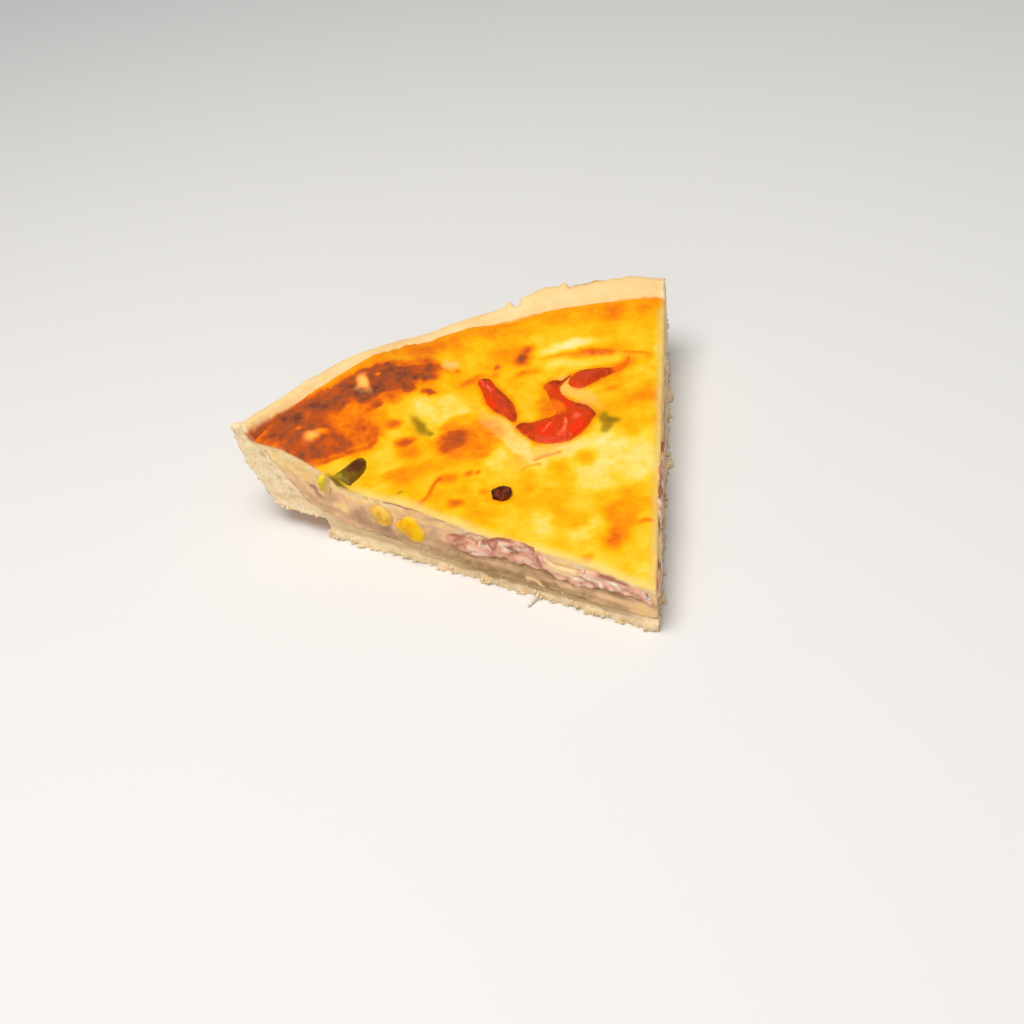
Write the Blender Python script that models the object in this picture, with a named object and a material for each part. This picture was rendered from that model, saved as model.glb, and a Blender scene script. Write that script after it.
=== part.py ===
"""One slice of a deep quiche lorraine, about a sixth of a 27 cm tart.

Units are metres, +Z is up. The middle line of the slice runs along +Y, with the tip at the -Y end and the
pastry rim at the +Y end. The origin is under the middle of the slice, on the surface that it lies on.
Everything is worked out in the frame of the whole round tart, whose centre is the tip of the slice, and an
empty then carries the pieces back by half of the slice's length. Angles are counted from the middle line
towards the right cut.
"""

import math

import bmesh
import bpy
from mathutils import Matrix, Vector, noise

# Driving dimensions of the slice
RIM_RADIUS = 0.1362
CUT_HALF_ANGLE = math.radians(33.3)
GAP = 0.00034
SPIN_STEPS = 26

# Pastry: a thick short crust, thinnest under the middle of the tart. Each row of WALL pairs a point of
# the outside with the point of the inside that faces it, as radius and height on a rim of even height.
PASTRY_AT_TIP = 0.0042
FLAT_FLOOR_RADIUS = 0.055
FLOOR_STATIONS = 20
WALL = [
    ((0.1080, 0.0000), (0.0950, 0.0064)),
    ((0.1195, 0.0000), (0.1040, 0.0080)),
    ((0.1247, 0.0038), (0.1110, 0.0102)),
    ((0.1279, 0.0095), (0.1155, 0.0140)),
    ((0.1309, 0.0150), (0.1188, 0.0182)),
    ((0.1340, 0.0196), (0.1218, 0.0222)),
    ((0.1360, 0.0242), (0.1246, 0.0260)),
    ((RIM_RADIUS, 0.0278), (0.1275, 0.0287)),
    ((0.1346, 0.0301), (0.1318, 0.0305)),
]
EVEN_CREST = 0.0304
RIM_STARTS = 0.0180

# How high the rim's crest stands, and how high up an even rim the filling reaches, by angle in degrees
RIM_CREST = [
    (-33.3, 0.0346),
    (-30.0, 0.0330),
    (-24.0, 0.0316),
    (-12.0, 0.0309),
    (-7.0, 0.0291),
    (-1.0, 0.0270),
    (5.0, 0.0273),
    (12.4, 0.0281),
    (14.2, 0.0306),
    (17.0, 0.0313),
    (22.0, 0.0301),
    (28.0, 0.0312),
    (33.3, 0.0298),
]
FILLING_EDGE = [(-33.3, 0.0300), (-12.0, 0.0301), (4.0, 0.0297), (12.0, 0.0273), (33.3, 0.0270)]
CREST_CRAGS = (0.0005, 0.009)
OUTSIDE_CRAGS = (0.0007, 0.012)

# The knife leaves both cuts wavy, and the pastry's base sticks out of them in crumbs
CUT_WAVE = (0.0004, 0.030)
CUT_CRUMBS = (0.0007, 0.006)
BASE_CRUMBS = (0.0015, 0.0065)
BASE_TOP = 0.009
LEFT_LEDGE = (0.0020, 0.004, 0.016, 0.046, 0.066)
RIGHT_LEDGE = (0.0014, 0.040, 0.060, 0.095, 0.115)

# The flake that has broken off under the left-hand corner
FLAKE_RADII = (0.1075, 0.1290)
FLAKE_HEIGHT = 0.0064
FLAKE_DEPTH = 0.012
FLAKE_OVERCUT = 0.004
FLAKE_CRAGS = (0.0009, 0.005)

# Filling: puffed up beside the rim, sunk towards the tip
TIP_HEIGHT = 0.0158
NEAR_RISE = 0.0026
MID_RISE = 0.0032
TOP_CRAGS = (0.0005, 0.011)
THINNEST_EDGE = 0.0006
CUT_FACE_ROWS = 4

# Ham: folded slices that run through the filling from one cut to the other
HAM_RADII = (0.0035, 0.0640)
HAM_HEIGHT = 0.0114
HAM_THICKNESS = 0.0046
HAM_STATIONS = 14
HAM_CLIMB = 0.0016
HAM_FOLD = (0.0013, 0.0046)
HAM_SWELL = (0.0005, 0.0031)
HAM_CRAGS = (0.0008, 0.012)

# Strips of pepper in the top, as (x, y, half width) along each
STRIP_SIDES = 10
STRIP_SINK = 0.0007
RED_STRIPS = {
    "red_pepper_strip_left": [
        (0.0010, 0.1050, 0.0012),
        (0.0016, 0.1018, 0.0023),
        (0.0021, 0.0972, 0.0029),
        (0.0022, 0.0910, 0.0026),
        (0.0019, 0.0850, 0.0020),
        (0.0012, 0.0797, 0.0010),
    ],
    "red_pepper_strip_right": [
        (0.0246, 0.0880, 0.0017),
        (0.0282, 0.0873, 0.0033),
        (0.0318, 0.0866, 0.0037),
        (0.0360, 0.0858, 0.0028),
        (0.0408, 0.0853, 0.0014),
        (0.0456, 0.0851, 0.0007),
    ],
    "red_pepper_curl": [
        (0.0186, 0.0908, 0.0016),
        (0.0189, 0.0850, 0.0024),
        (0.0186, 0.0795, 0.0021),
        (0.0190, 0.0750, 0.0024),
        (0.0181, 0.0712, 0.0027),
        (0.0152, 0.0686, 0.0034),
        (0.0114, 0.0679, 0.0042),
        (0.0075, 0.0691, 0.0042),
        (0.0040, 0.0721, 0.0033),
        (0.0010, 0.0763, 0.0014),
    ],
}
GREEN_STRIP = [
    (-0.0536, 0.0860, 0.0013),
    (-0.0505, 0.0862, 0.0028),
    (-0.0470, 0.0873, 0.0030),
    (-0.0432, 0.0890, 0.0014),
]
STATIONS_A_SPAN = 2.2
RED_HALF_HEIGHT = 0.0017
GREEN_HALF_HEIGHT = 0.0015

# Sweetcorn: radius along the left cut, height, and half sizes along the cut, out of it and up
KERNELS = {
    "sweetcorn_bright": (0.0770, 0.0124, (0.0050, 0.0034, 0.0038)),
    "sweetcorn_pale": (0.0868, 0.0146, (0.0041, 0.0028, 0.0034)),
    "sweetcorn_edge": (0.1052, 0.0206, (0.0018, 0.0022, 0.0030)),
}
KERNEL_OUT = 0.0004
KERNEL_TAPER = (0.22, 0.12)

# A scrap of pepper baked almost black: its place, and its half sizes
CHARRED_BIT = (-0.0172, 0.0545)
CHARRED_BIT_HALF = (0.0034, 0.0030, 0.0014)
CHARRED_BIT_LIFT = 0.0003

# Low relief of the top, small toppings fused to it, as (x, y), half sizes and height
BLISTER = ((-0.0186, 0.0831), (0.0062, 0.0062), 0.0011)
SKINNED_STRIP = ((0.0362, 0.0953), (0.0110, 0.0028), 0.0011)
BROWN_CRUMB = ((0.0178, 0.1072), (0.0040, 0.0022), 0.0010)
GREEN_CRUMB_RIGHT = ((0.0242, 0.0640), (0.0030, 0.0048), 0.0007)
GREEN_CRUMB_LEFT = ((-0.0236, 0.0940), (0.0022, 0.0044), 0.0006)
TOP_BUMPS = [BLISTER, SKINNED_STRIP, BROWN_CRUMB, GREEN_CRUMB_RIGHT, GREEN_CRUMB_LEFT]


def smooth(low, high, value):
    """0 before low, 1 after high and an even ramp between them."""
    share = min(1.0, max(0.0, (value - low) / (high - low)))
    return share * share * (3 - 2 * share)


def between(table, angle):
    """Reads a table of (angle in degrees, value), with soft ramps between its entries."""
    degrees = math.degrees(angle)
    for (near, first), (far, last) in zip(table, table[1:]):
        if degrees <= far:
            return first + (last - first) * smooth(near, far, degrees)
    return table[-1][1]


def ripple(point, crags, seed=0.0):
    """Even noise. crags is the height and the width of its bumps."""
    height, width = crags
    return height * noise.noise(Vector(point) / width + Vector((seed, 2 * seed, -seed)))


def polar(point):
    """Radius from the centre of the tart, and angle from the middle line."""
    return math.hypot(point[0], point[1]), math.atan2(point[0], point[1])


def at(radius, angle, height):
    """The point at a radius, angle and height of the tart."""
    return Vector((radius * math.sin(angle), radius * math.cos(angle), height))


def outwards(side):
    """The way out of a cut: -1 is the left one and 1 the right one."""
    return Vector((side * math.cos(CUT_HALF_ANGLE), -math.sin(CUT_HALF_ANGLE), 0))


def raised(radius, height, angle):
    """Where a point of an even rim really stands: the rim has sunk in the middle and peaks at the left."""
    crest = between(RIM_CREST, angle) + ripple(at(RIM_RADIUS, angle, 0), CREST_CRAGS, 1.3)
    if height > RIM_STARTS:
        sunk = min(1.0, (crest - RIM_STARTS) / (EVEN_CREST - RIM_STARTS))
        height = RIM_STARTS + (height - RIM_STARTS) * sunk
    inner, outer = WALL[-2][1][0], WALL[-1][1][0]
    peak = max(0.0, crest - EVEN_CREST) * smooth(inner, outer, radius)
    return height + peak * smooth(RIM_STARTS, WALL[-2][0][1], height)


def top_height(x, y):
    """Height of the baked top of the filling."""
    radius, angle = polar((x, y))
    middle = TIP_HEIGHT + NEAR_RISE * smooth(0, 0.025, radius) + MID_RISE * smooth(0.045, 0.080, radius)
    height = middle + (between(FILLING_EDGE, angle) - middle) * smooth(0.092, 0.121, radius)
    for (bump_x, bump_y), (half_x, half_y), rise in TOP_BUMPS:
        reach = math.hypot((x - bump_x) / half_x, (y - bump_y) / half_y)
        height += rise * (1 - smooth(0.3, 1.25, reach))
    height += ripple((x, y, 0), TOP_CRAGS) * (1 - smooth(0.116, 0.122, radius))
    return raised(min(radius, WALL[-2][1][0]), height, angle)


def profile():
    """Pairs of outside and inside points of the pastry, from the tip to the top of the rim."""
    last_inside, last_height = WALL[0][1]
    pairs = []
    for i in range(FLOOR_STATIONS):
        share = i / FLOOR_STATIONS
        inside = share * last_inside
        height = PASTRY_AT_TIP + (last_height - PASTRY_AT_TIP) * smooth(FLAT_FLOOR_RADIUS, last_inside, inside)
        pairs.append(((share * WALL[0][0][0], 0.0), (inside, height)))
    return pairs + WALL


def inset(points, distance):
    """A line of (radius, height) points moved up and towards the middle of the tart."""
    moved = []
    for i, (radius, height) in enumerate(points):
        before, after = points[max(0, i - 1)], points[min(len(points) - 1, i + 1)]
        along = Vector((after[0] - before[0], after[1] - before[1])).normalized()
        moved.append((max(0.0, radius - along.y * distance), height + along.x * distance))
    return moved


def radius_on(line, height):
    """Radius at which a line of (radius, height) points last climbs to a height."""
    for (near, low), (far, high) in zip(line[-2::-1], line[::-1]):
        if low <= height:
            return near + (far - near) * (height - low) / (high - low)
    return line[0][0]


def sweep(rows):
    """A closed body: a strip of faces between rows of points on the left cut, turned to the right cut."""
    mesh = bmesh.new()
    lines = [[mesh.verts.new(at(r, -CUT_HALF_ANGLE, z)) for r, z in row] for row in rows]
    for lower, upper in zip(lines, lines[1:]):
        for i in range(len(lower) - 1):
            mesh.faces.new((lower[i], lower[i + 1], upper[i + 1], upper[i]))
    bmesh.ops.remove_doubles(mesh, verts=mesh.verts, dist=1e-6)
    bmesh.ops.spin(
        mesh,
        geom=list(mesh.faces),
        axis=(0, 0, 1),
        cent=(0, 0, 0),
        angle=-2 * CUT_HALF_ANGLE,
        steps=SPIN_STEPS,
    )
    bmesh.ops.remove_doubles(mesh, verts=mesh.verts, dist=1e-5)
    bmesh.ops.dissolve_degenerate(mesh, edges=mesh.edges, dist=1e-6)
    return mesh


def cut_side(point):
    """-1 on the left cut, 1 on the right cut, 0 between them."""
    radius, angle = polar(point)
    if radius < 1e-5 or abs(abs(angle) - CUT_HALF_ANGLE) > 1e-4:
        return 0
    return -1 if angle < 0 else 1


def roughen_cuts(mesh):
    """Moves the points on the cuts out and in, as a knife and falling crumbs leave them."""
    for vert in mesh.verts:
        side = cut_side(vert.co)
        if side:
            radius = polar(vert.co)[0]
            wave = ripple((radius, side, 0), CUT_WAVE, 3.1) + ripple(vert.co, CUT_CRUMBS, 7.7)
            vert.co += outwards(side) * wave * smooth(0, 0.008, radius)


def surface(name, colour, roughness):
    """A plain food surface, colour as linear red, green and blue."""
    material = bpy.data.materials.new(name)
    material.use_nodes = True
    shader = material.node_tree.nodes["Principled BSDF"]
    shader.inputs["Base Color"].default_value = (*colour, 1)
    shader.inputs["Roughness"].default_value = roughness
    shader.inputs["Metallic"].default_value = 0
    return material


def finished(mesh, name, material, parent):
    """Turns a bmesh into a named object under the empty."""
    bmesh.ops.recalc_face_normals(mesh, faces=mesh.faces)
    bmesh.ops.triangulate(mesh, faces=mesh.faces)
    data = bpy.data.meshes.new(name)
    mesh.to_mesh(data)
    mesh.free()
    data.shade_smooth()
    data.set_sharp_from_angle(angle=math.radians(40))
    data.materials.append(material)
    thing = bpy.data.objects.new(name, data)
    bpy.context.scene.collection.objects.link(thing)
    thing.parent = parent
    return thing


def base_crumbs(radius, side, point):
    """How far the pastry's base sticks out of a cut."""
    out, rises, risen, falls, fallen = LEFT_LEDGE if side < 0 else RIGHT_LEDGE
    ledge = out * smooth(rises, risen, radius) * (1 - smooth(falls, fallen, radius))
    return ledge + ripple(point, BASE_CRUMBS, 9.2) * smooth(0, rises, radius)


def make_pastry():
    """The shell: floor, sloping wall and hand-pressed rim, with crumbly cut edges."""
    pairs = profile()
    halfway = [((a + c) / 2, (b + d) / 2) for (a, b), (c, d) in pairs]
    mesh = sweep([[p[0] for p in pairs], halfway, [p[1] for p in pairs]])
    for vert in mesh.verts:
        radius, angle = polar(vert.co)
        side = cut_side(vert.co)
        height = vert.co.z
        outside = smooth(WALL[-1][1][0], RIM_RADIUS, radius) * smooth(WALL[3][0][1], RIM_STARTS, height)
        wider = ripple(vert.co, OUTSIDE_CRAGS, 4.4) * outside
        vert.co = at(radius + wider, angle, raised(radius, height, angle))
        if side and height < BASE_TOP:
            vert.co += outwards(side) * base_crumbs(radius, side, vert.co)
    roughen_cuts(mesh)
    return mesh


def make_flake_cutter():
    """What has broken away under the left corner: a rough block below the pastry's wall."""
    inner, outer = FLAKE_RADII
    mesh = bmesh.new()
    bmesh.ops.create_cube(mesh, size=1)
    bmesh.ops.subdivide_edges(mesh, edges=mesh.edges, cuts=3, use_grid_fill=True)
    for vert in mesh.verts:
        along, deep, up = vert.co.x + 0.5, vert.co.y + 0.5, vert.co.z + 0.5
        radius = inner + (outer - inner) * along
        depth = FLAKE_DEPTH * (0.65 + 0.35 * along) * deep - FLAKE_OVERCUT * (1 - deep)
        vert.co = at(radius, -CUT_HALF_ANGLE, FLAKE_HEIGHT * up - FLAKE_OVERCUT * (1 - up))
        vert.co -= outwards(-1) * depth
        vert.co += Vector((1, 1, 0.35)) * ripple(vert.co, FLAKE_CRAGS, 5.5)
    bmesh.ops.recalc_face_normals(mesh, faces=mesh.faces)
    return mesh


def bed_line(angle):
    """The underside of the filling at an angle: up the pastry to the thin edge of the baked skin."""
    wall = inset([(r, raised(r, z, angle)) for _, (r, z) in profile()], GAP)
    edge = raised(WALL[-2][1][0], between(FILLING_EDGE, angle), angle)
    knee = min(wall[-2][1], wall[-3][1] + 0.75 * (edge - wall[-3][1]))
    return [*wall[:-2], (radius_on(wall, knee), knee), (radius_on(wall, edge), edge)]


def make_filling():
    """The set custard: its underside follows the pastry, its top is the baked skin."""
    step = 0.01
    count = len(bed_line(0))
    rows = []
    for row in range(CUT_FACE_ROWS + 1):
        share = row / CUT_FACE_ROWS
        rows.append([*((k * step, share) for k in range(count - 1)), ((count - 1) * step, 0)])
    mesh = sweep(rows)
    for vert in mesh.verts:
        marker, angle = polar(vert.co)
        share = vert.co.z
        radius, floor = bed_line(angle)[round(marker / step)]
        x, y = at(radius, angle, 0).xy
        top = floor if round(marker / step) == count - 1 else max(top_height(x, y), floor + THINNEST_EDGE)
        vert.co = at(radius, angle, floor + (top - floor) * share)
    roughen_cuts(mesh)
    return mesh


def make_ham():
    """Thin slices laid in folds: one wavy band from cut to cut."""
    first, last = HAM_RADII
    lower, upper = [], []
    for i in range(HAM_STATIONS + 1):
        share = i / HAM_STATIONS
        radius = first + (last - first) * share
        half = HAM_THICKNESS / 2 * min(1, 0.45 + 6 * share, 0.35 + 9 * (1 - share))
        lower.append((radius, HAM_HEIGHT - half))
        upper.append((radius, HAM_HEIGHT + half))
    mesh = sweep([lower, upper])
    fold_height, fold_width = HAM_FOLD
    swell_height, swell_width = HAM_SWELL
    for vert in mesh.verts:
        radius, angle = polar(vert.co)
        above = 1 if vert.co.z > HAM_HEIGHT else -1
        side = cut_side(vert.co)
        vert.co.z += fold_height * math.sin(radius / fold_width + 2.2 * angle)
        vert.co.z += above * swell_height * math.sin(radius / swell_width - 1.7 * angle)
        vert.co.z += ripple(vert.co, HAM_CRAGS, 2.5) + HAM_CLIMB * smooth(0.010, 0.035, radius)
        if side:
            vert.co += outwards(side) * (GAP + ripple(vert.co, CUT_CRUMBS, 6.0) / 2)
    return mesh


def smooth_path(points, count):
    """Points of a Catmull-Rom curve through the given ones, evenly spread over its spans."""
    ends = [Vector(p) for p in points]
    ends = [2 * ends[0] - ends[1], *ends, 2 * ends[-1] - ends[-2]]
    found = []
    for i in range(count):
        place = i / (count - 1) * (len(points) - 1)
        span = min(int(place), len(points) - 2)
        t = place - span
        a, b, c, d = ends[span : span + 4]
        bend = (2 * a - 5 * b + 4 * c - d) * t**2 + (3 * b - a - 3 * c + d) * t**3
        found.append(0.5 * (2 * b + (c - a) * t + bend))
    return found


def make_strip(path, half_height):
    """A soft strip of pepper, thinner at its ends, lying in the top of the filling."""
    stations = round(STATIONS_A_SPAN * (len(path) - 1)) + 1
    spine = smooth_path(path, stations)
    mesh = bmesh.new()
    rings = []
    for i, (x, y, half_width) in enumerate(spine):
        share = i / (stations - 1)
        before, after = spine[max(0, i - 1)], spine[min(stations - 1, i + 1)]
        along = (after - before).xy.normalized()
        tall = half_height * (0.35 + 0.65 * math.sin(math.pi * (0.1 + 0.8 * share)))
        middle = top_height(x, y) - STRIP_SINK
        ring = []
        for k in range(STRIP_SIDES):
            turn = 2 * math.pi * k / STRIP_SIDES
            wide = half_width * math.cos(turn)
            place = (x + along.y * wide, y - along.x * wide, middle + tall * math.sin(turn))
            ring.append(mesh.verts.new(place))
        rings.append(ring)
    for near, far in zip(rings, rings[1:]):
        for k in range(STRIP_SIDES):
            mesh.faces.new((near[k], near[k - 1], far[k - 1], far[k]))
    mesh.faces.new(rings[0])
    mesh.faces.new(rings[-1])
    return mesh


def make_kernel(radius, height, halves):
    """A kernel of sweetcorn that the knife has passed: a rounded tooth, narrower at its root."""
    mesh = bmesh.new()
    bmesh.ops.create_icosphere(mesh, subdivisions=2, radius=1)
    tall_taper, deep_taper = KERNEL_TAPER
    for vert in mesh.verts:
        vert.co.z *= 1 - tall_taper * vert.co.x
        vert.co.y *= 1 - deep_taper * vert.co.x
        vert.co += vert.co.normalized() * ripple(vert.co, (0.06, 0.9), radius * 100)
        vert.co = Vector(tuple(c * half for c, half in zip(vert.co, halves)))
    turn = Matrix.Rotation(math.pi / 2 + CUT_HALF_ANGLE, 4, "Z")
    place = at(radius, -CUT_HALF_ANGLE, height) + outwards(-1) * (KERNEL_OUT - halves[1] / 2)
    bmesh.ops.transform(mesh, matrix=Matrix.Translation(place) @ turn, verts=mesh.verts)
    return mesh


def make_charred_bit():
    """A scrap of pepper that has baked almost black."""
    mesh = bmesh.new()
    bmesh.ops.create_icosphere(mesh, subdivisions=2, radius=1)
    x, y = CHARRED_BIT
    for vert in mesh.verts:
        vert.co += vert.co.normalized() * ripple(vert.co, (0.25, 0.8), 8.0)
        vert.co = Vector(tuple(c * half for c, half in zip(vert.co, CHARRED_BIT_HALF)))
        vert.co += Vector((x, y, top_height(x, y) + CHARRED_BIT_LIFT))
    return mesh


def hidden(mesh, name, parent):
    """A cutter: drawn as wire, and no part of the slice."""
    data = bpy.data.meshes.new(name)
    mesh.to_mesh(data)
    mesh.free()
    cutter = bpy.data.objects.new(name, data)
    bpy.context.scene.collection.objects.link(cutter)
    cutter.parent = parent
    cutter.hide_render = True
    cutter.display_type = "WIRE"
    return cutter


def bed_cutter(thing):
    """A copy of a piece, fatter all over by the gap, that hollows its bed in the filling."""
    mesh = bmesh.new()
    mesh.from_mesh(thing.data)
    moves = [(v, v.normal * GAP * v.calc_shell_factor()) for v in mesh.verts]
    for vert, move in moves:
        vert.co += move
    return hidden(mesh, thing.name + "_bed", thing.parent)


def subtract(thing, cutter):
    """Takes the cutter out of the thing."""
    cut = thing.modifiers.new(cutter.name, "BOOLEAN")
    cut.operation = "DIFFERENCE"
    cut.solver = "EXACT"
    cut.object = cutter


def main():
    for old in list(bpy.data.objects):
        bpy.data.objects.remove(old)
    slice_frame = bpy.data.objects.new("slice_frame", None)
    bpy.context.scene.collection.objects.link(slice_frame)
    slice_frame.location = (0, -RIM_RADIUS / 2, 0)

    short_crust = surface("short_crust", (0.78, 0.56, 0.30), 0.85)
    baked_custard = surface("baked_custard", (0.85, 0.48, 0.06), 0.45)
    cooked_ham = surface("cooked_ham", (0.62, 0.30, 0.24), 0.5)
    red_pepper = surface("red_pepper", (0.60, 0.05, 0.02), 0.35)
    green_pepper = surface("green_pepper", (0.14, 0.12, 0.02), 0.4)
    sweetcorn = surface("sweetcorn", (0.88, 0.60, 0.03), 0.35)
    charred_pepper = surface("charred_pepper", (0.06, 0.03, 0.02), 0.6)

    crust = finished(make_pastry(), "pastry_crust", short_crust, slice_frame)
    subtract(crust, hidden(make_flake_cutter(), "broken_flake", slice_frame))
    filling = finished(make_filling(), "custard_filling", baked_custard, slice_frame)

    inlays = [finished(make_ham(), "ham_layer", cooked_ham, slice_frame)]
    for name, (radius, height, halves) in KERNELS.items():
        inlays.append(finished(make_kernel(radius, height, halves), name, sweetcorn, slice_frame))
    for name, path in RED_STRIPS.items():
        inlays.append(finished(make_strip(path, RED_HALF_HEIGHT), name, red_pepper, slice_frame))
    green = make_strip(GREEN_STRIP, GREEN_HALF_HEIGHT)
    inlays.append(finished(green, "green_pepper_strip", green_pepper, slice_frame))
    inlays.append(finished(make_charred_bit(), "charred_pepper_bit", charred_pepper, slice_frame))
    for inlay in inlays:
        subtract(filling, bed_cutter(inlay))


main()
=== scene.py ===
import math
import random

import bmesh
import bpy
import numpy as np
from mathutils import Matrix, Vector, noise
from mathutils.bvhtree import BVHTree


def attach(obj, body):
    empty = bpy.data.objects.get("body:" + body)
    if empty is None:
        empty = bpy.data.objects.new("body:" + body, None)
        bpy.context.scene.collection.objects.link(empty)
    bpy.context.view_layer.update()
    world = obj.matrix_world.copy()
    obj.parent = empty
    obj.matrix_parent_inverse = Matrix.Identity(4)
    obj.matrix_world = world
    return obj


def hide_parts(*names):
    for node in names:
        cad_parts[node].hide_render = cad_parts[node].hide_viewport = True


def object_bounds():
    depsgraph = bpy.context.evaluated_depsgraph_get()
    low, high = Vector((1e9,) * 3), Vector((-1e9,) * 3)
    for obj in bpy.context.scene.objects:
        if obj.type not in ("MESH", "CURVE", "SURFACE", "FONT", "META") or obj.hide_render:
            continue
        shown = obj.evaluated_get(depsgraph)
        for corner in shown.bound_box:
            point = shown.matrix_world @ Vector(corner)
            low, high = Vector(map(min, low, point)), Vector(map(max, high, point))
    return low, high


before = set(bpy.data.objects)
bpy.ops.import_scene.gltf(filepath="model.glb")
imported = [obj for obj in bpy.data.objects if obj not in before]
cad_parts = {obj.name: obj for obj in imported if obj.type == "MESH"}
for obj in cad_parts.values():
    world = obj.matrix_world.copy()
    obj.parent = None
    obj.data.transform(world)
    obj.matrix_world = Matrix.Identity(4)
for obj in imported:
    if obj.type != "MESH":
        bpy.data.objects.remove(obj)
cad_low, cad_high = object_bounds()

# The view
# The slice is seen from its left cut, from above the tip and a little to one side, with the horizon tipped
# so that the far end rises to the right. The lens is a normal one of about 49 mm on a 36 mm frame.
EYE = Vector((-0.1296, -0.3032, 0.2616))
HEADING = math.radians(21.65)
LOOKING_DOWN = math.radians(38.73)
TIPPED = math.radians(-8.82)
LENS_MM = 49.22
FRAME_MM = 36.0

level = Vector((math.cos(HEADING), -math.sin(HEADING), 0))
ahead = Vector((math.sin(HEADING), math.cos(HEADING), -math.tan(LOOKING_DOWN))).normalized()
upright = level.cross(ahead)
across = level * math.cos(TIPPED) + upright * math.sin(TIPPED)
above = upright * math.cos(TIPPED) - level * math.sin(TIPPED)

camera_data = bpy.data.cameras.new("view")
camera_data.sensor_width = FRAME_MM
camera_data.lens = LENS_MM
camera = bpy.data.objects.new("view", camera_data)
bpy.context.scene.collection.objects.link(camera)
camera.matrix_world = Matrix.Translation(EYE) @ Matrix((across, above, -ahead)).transposed().to_4x4()
bpy.context.scene.camera = camera

# Shortcrust pastry
# A shell of flour, butter and water, pressed into a tin by hand, baked pale and cut with the filling in it.
# The rim is smooth and dry, both cuts and the edge of the base are crumbly, and crumbs cling to them.
RIM_RADIUS = 0.1362
CUT_HALF_ANGLE = math.radians(33.3)
TIP = Vector((0, -RIM_RADIUS / 2, 0))
PASTRY_GRID = 0.00060
FLUSH_WITHIN = 0.0006
# Flakes at the foot of the right cut: place along it, half width, and how far they stand out
FLAKES = [(0.1080, 0.0030, 0.0019), (0.0720, 0.0026, 0.0017), (0.0120, 0.0022, 0.0012)]
LEFT, RIGHT = -1, 1
MM = 1000


def outwards(side):
    """The way out of the left or the right cut."""
    return Vector((side * math.cos(CUT_HALF_ANGLE), -math.sin(CUT_HALF_ANGLE), 0))


def edges_of(piece):
    """The two ends of every edge of a piece."""
    pairs = np.empty(len(piece.data.edges) * 2, dtype=np.int32)
    piece.data.edges.foreach_get("vertices", pairs)
    return pairs.reshape(-1, 2)


def eased(piece, steps):
    """Takes the steps of the grid out of a dense copy, without shrinking it."""
    pairs = edges_of(piece)
    places = read(piece, "co")
    count = np.bincount(pairs.ravel(), minlength=len(places))
    for push in (0.50, -0.52) * steps:
        for axis in range(3):
            values = places[:, axis]
            total = np.bincount(pairs[:, 0], values[pairs[:, 1]], len(places))
            total += np.bincount(pairs[:, 1], values[pairs[:, 0]], len(places))
            places[:, axis] = values + push * (total / count - values)
    write(piece, places)


def fine_copy(node, name, grid):
    """A dense closed copy of a solid of the frame, with even faces that can be worked in fine relief."""
    shell = bmesh.new()
    shell.from_mesh(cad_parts[node].data)
    bmesh.ops.remove_doubles(shell, verts=shell.verts, dist=1e-6)
    bmesh.ops.recalc_face_normals(shell, faces=shell.faces)
    data = bpy.data.meshes.new(name)
    shell.to_mesh(data)
    shell.free()
    piece = bpy.data.objects.new(name, data)
    bpy.context.scene.collection.objects.link(piece)
    even = piece.modifiers.new("even", "REMESH")
    even.mode = "VOXEL"
    even.voxel_size = grid
    dense = bpy.data.meshes.new_from_object(piece.evaluated_get(bpy.context.evaluated_depsgraph_get()))
    piece.modifiers.clear()
    piece.data = dense
    dense.materials.clear()
    dense.shade_smooth()
    eased(piece, 4)
    return piece


def read(piece, what):
    """The places or the normals of a piece's points, as rows of an array."""
    values = np.empty(len(piece.data.vertices) * 3)
    piece.data.vertices.foreach_get(what, values)
    return values.reshape(-1, 3)


def write(piece, places):
    """Puts a piece's points in their new places."""
    piece.data.vertices.foreach_set("co", places.ravel())
    piece.data.update()


def paint(piece, name, values):
    """Keeps one number for each point of a piece, which its material reads by name."""
    layer = piece.data.attributes.new(name, "FLOAT", "POINT")
    layer.data.foreach_set("value", np.asarray(values, dtype=np.float32))


def smooth(low, high, value):
    """0 before low, 1 after high and an even ramp between them."""
    share = np.clip((value - low) / (high - low), 0.0, 1.0)
    return share * share * (3 - 2 * share)


def flush(places):
    """Brings the points beside a cut onto its plane, so that the layers meet there without a groove."""
    for side in (LEFT, RIGHT):
        out = out_of(places, side)
        places -= np.outer(np.where(out > -FLUSH_WITHIN, out, 0), np.array(outwards(side)))
    return places


def crags(places, size, seed=0.0):
    """Even noise between about -1 and 1 at each place. size is the width of its bumps, one or three numbers."""
    scaled = places / np.asarray(size) + np.array((seed, 2 * seed, -seed))
    return np.array([noise.noise(p) for p in scaled])


def pits(places, size, seed=0.0):
    """Distance to the nearest of evenly scattered points, in sizes."""
    scaled = places / size + seed
    return np.array([noise.voronoi(p)[0][0] for p in scaled])


def tart(places):
    """Radius from the tart's centre and angle from the middle line of the slice, at each place."""
    x, y = places[:, 0] - TIP.x, places[:, 1] - TIP.y
    return np.hypot(x, y), np.arctan2(x, y)


def out_of(places, side):
    """How far each place lies outside the plane of a cut, in metres."""
    return (places - np.array(TIP)) @ np.array(outwards(side))


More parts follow.
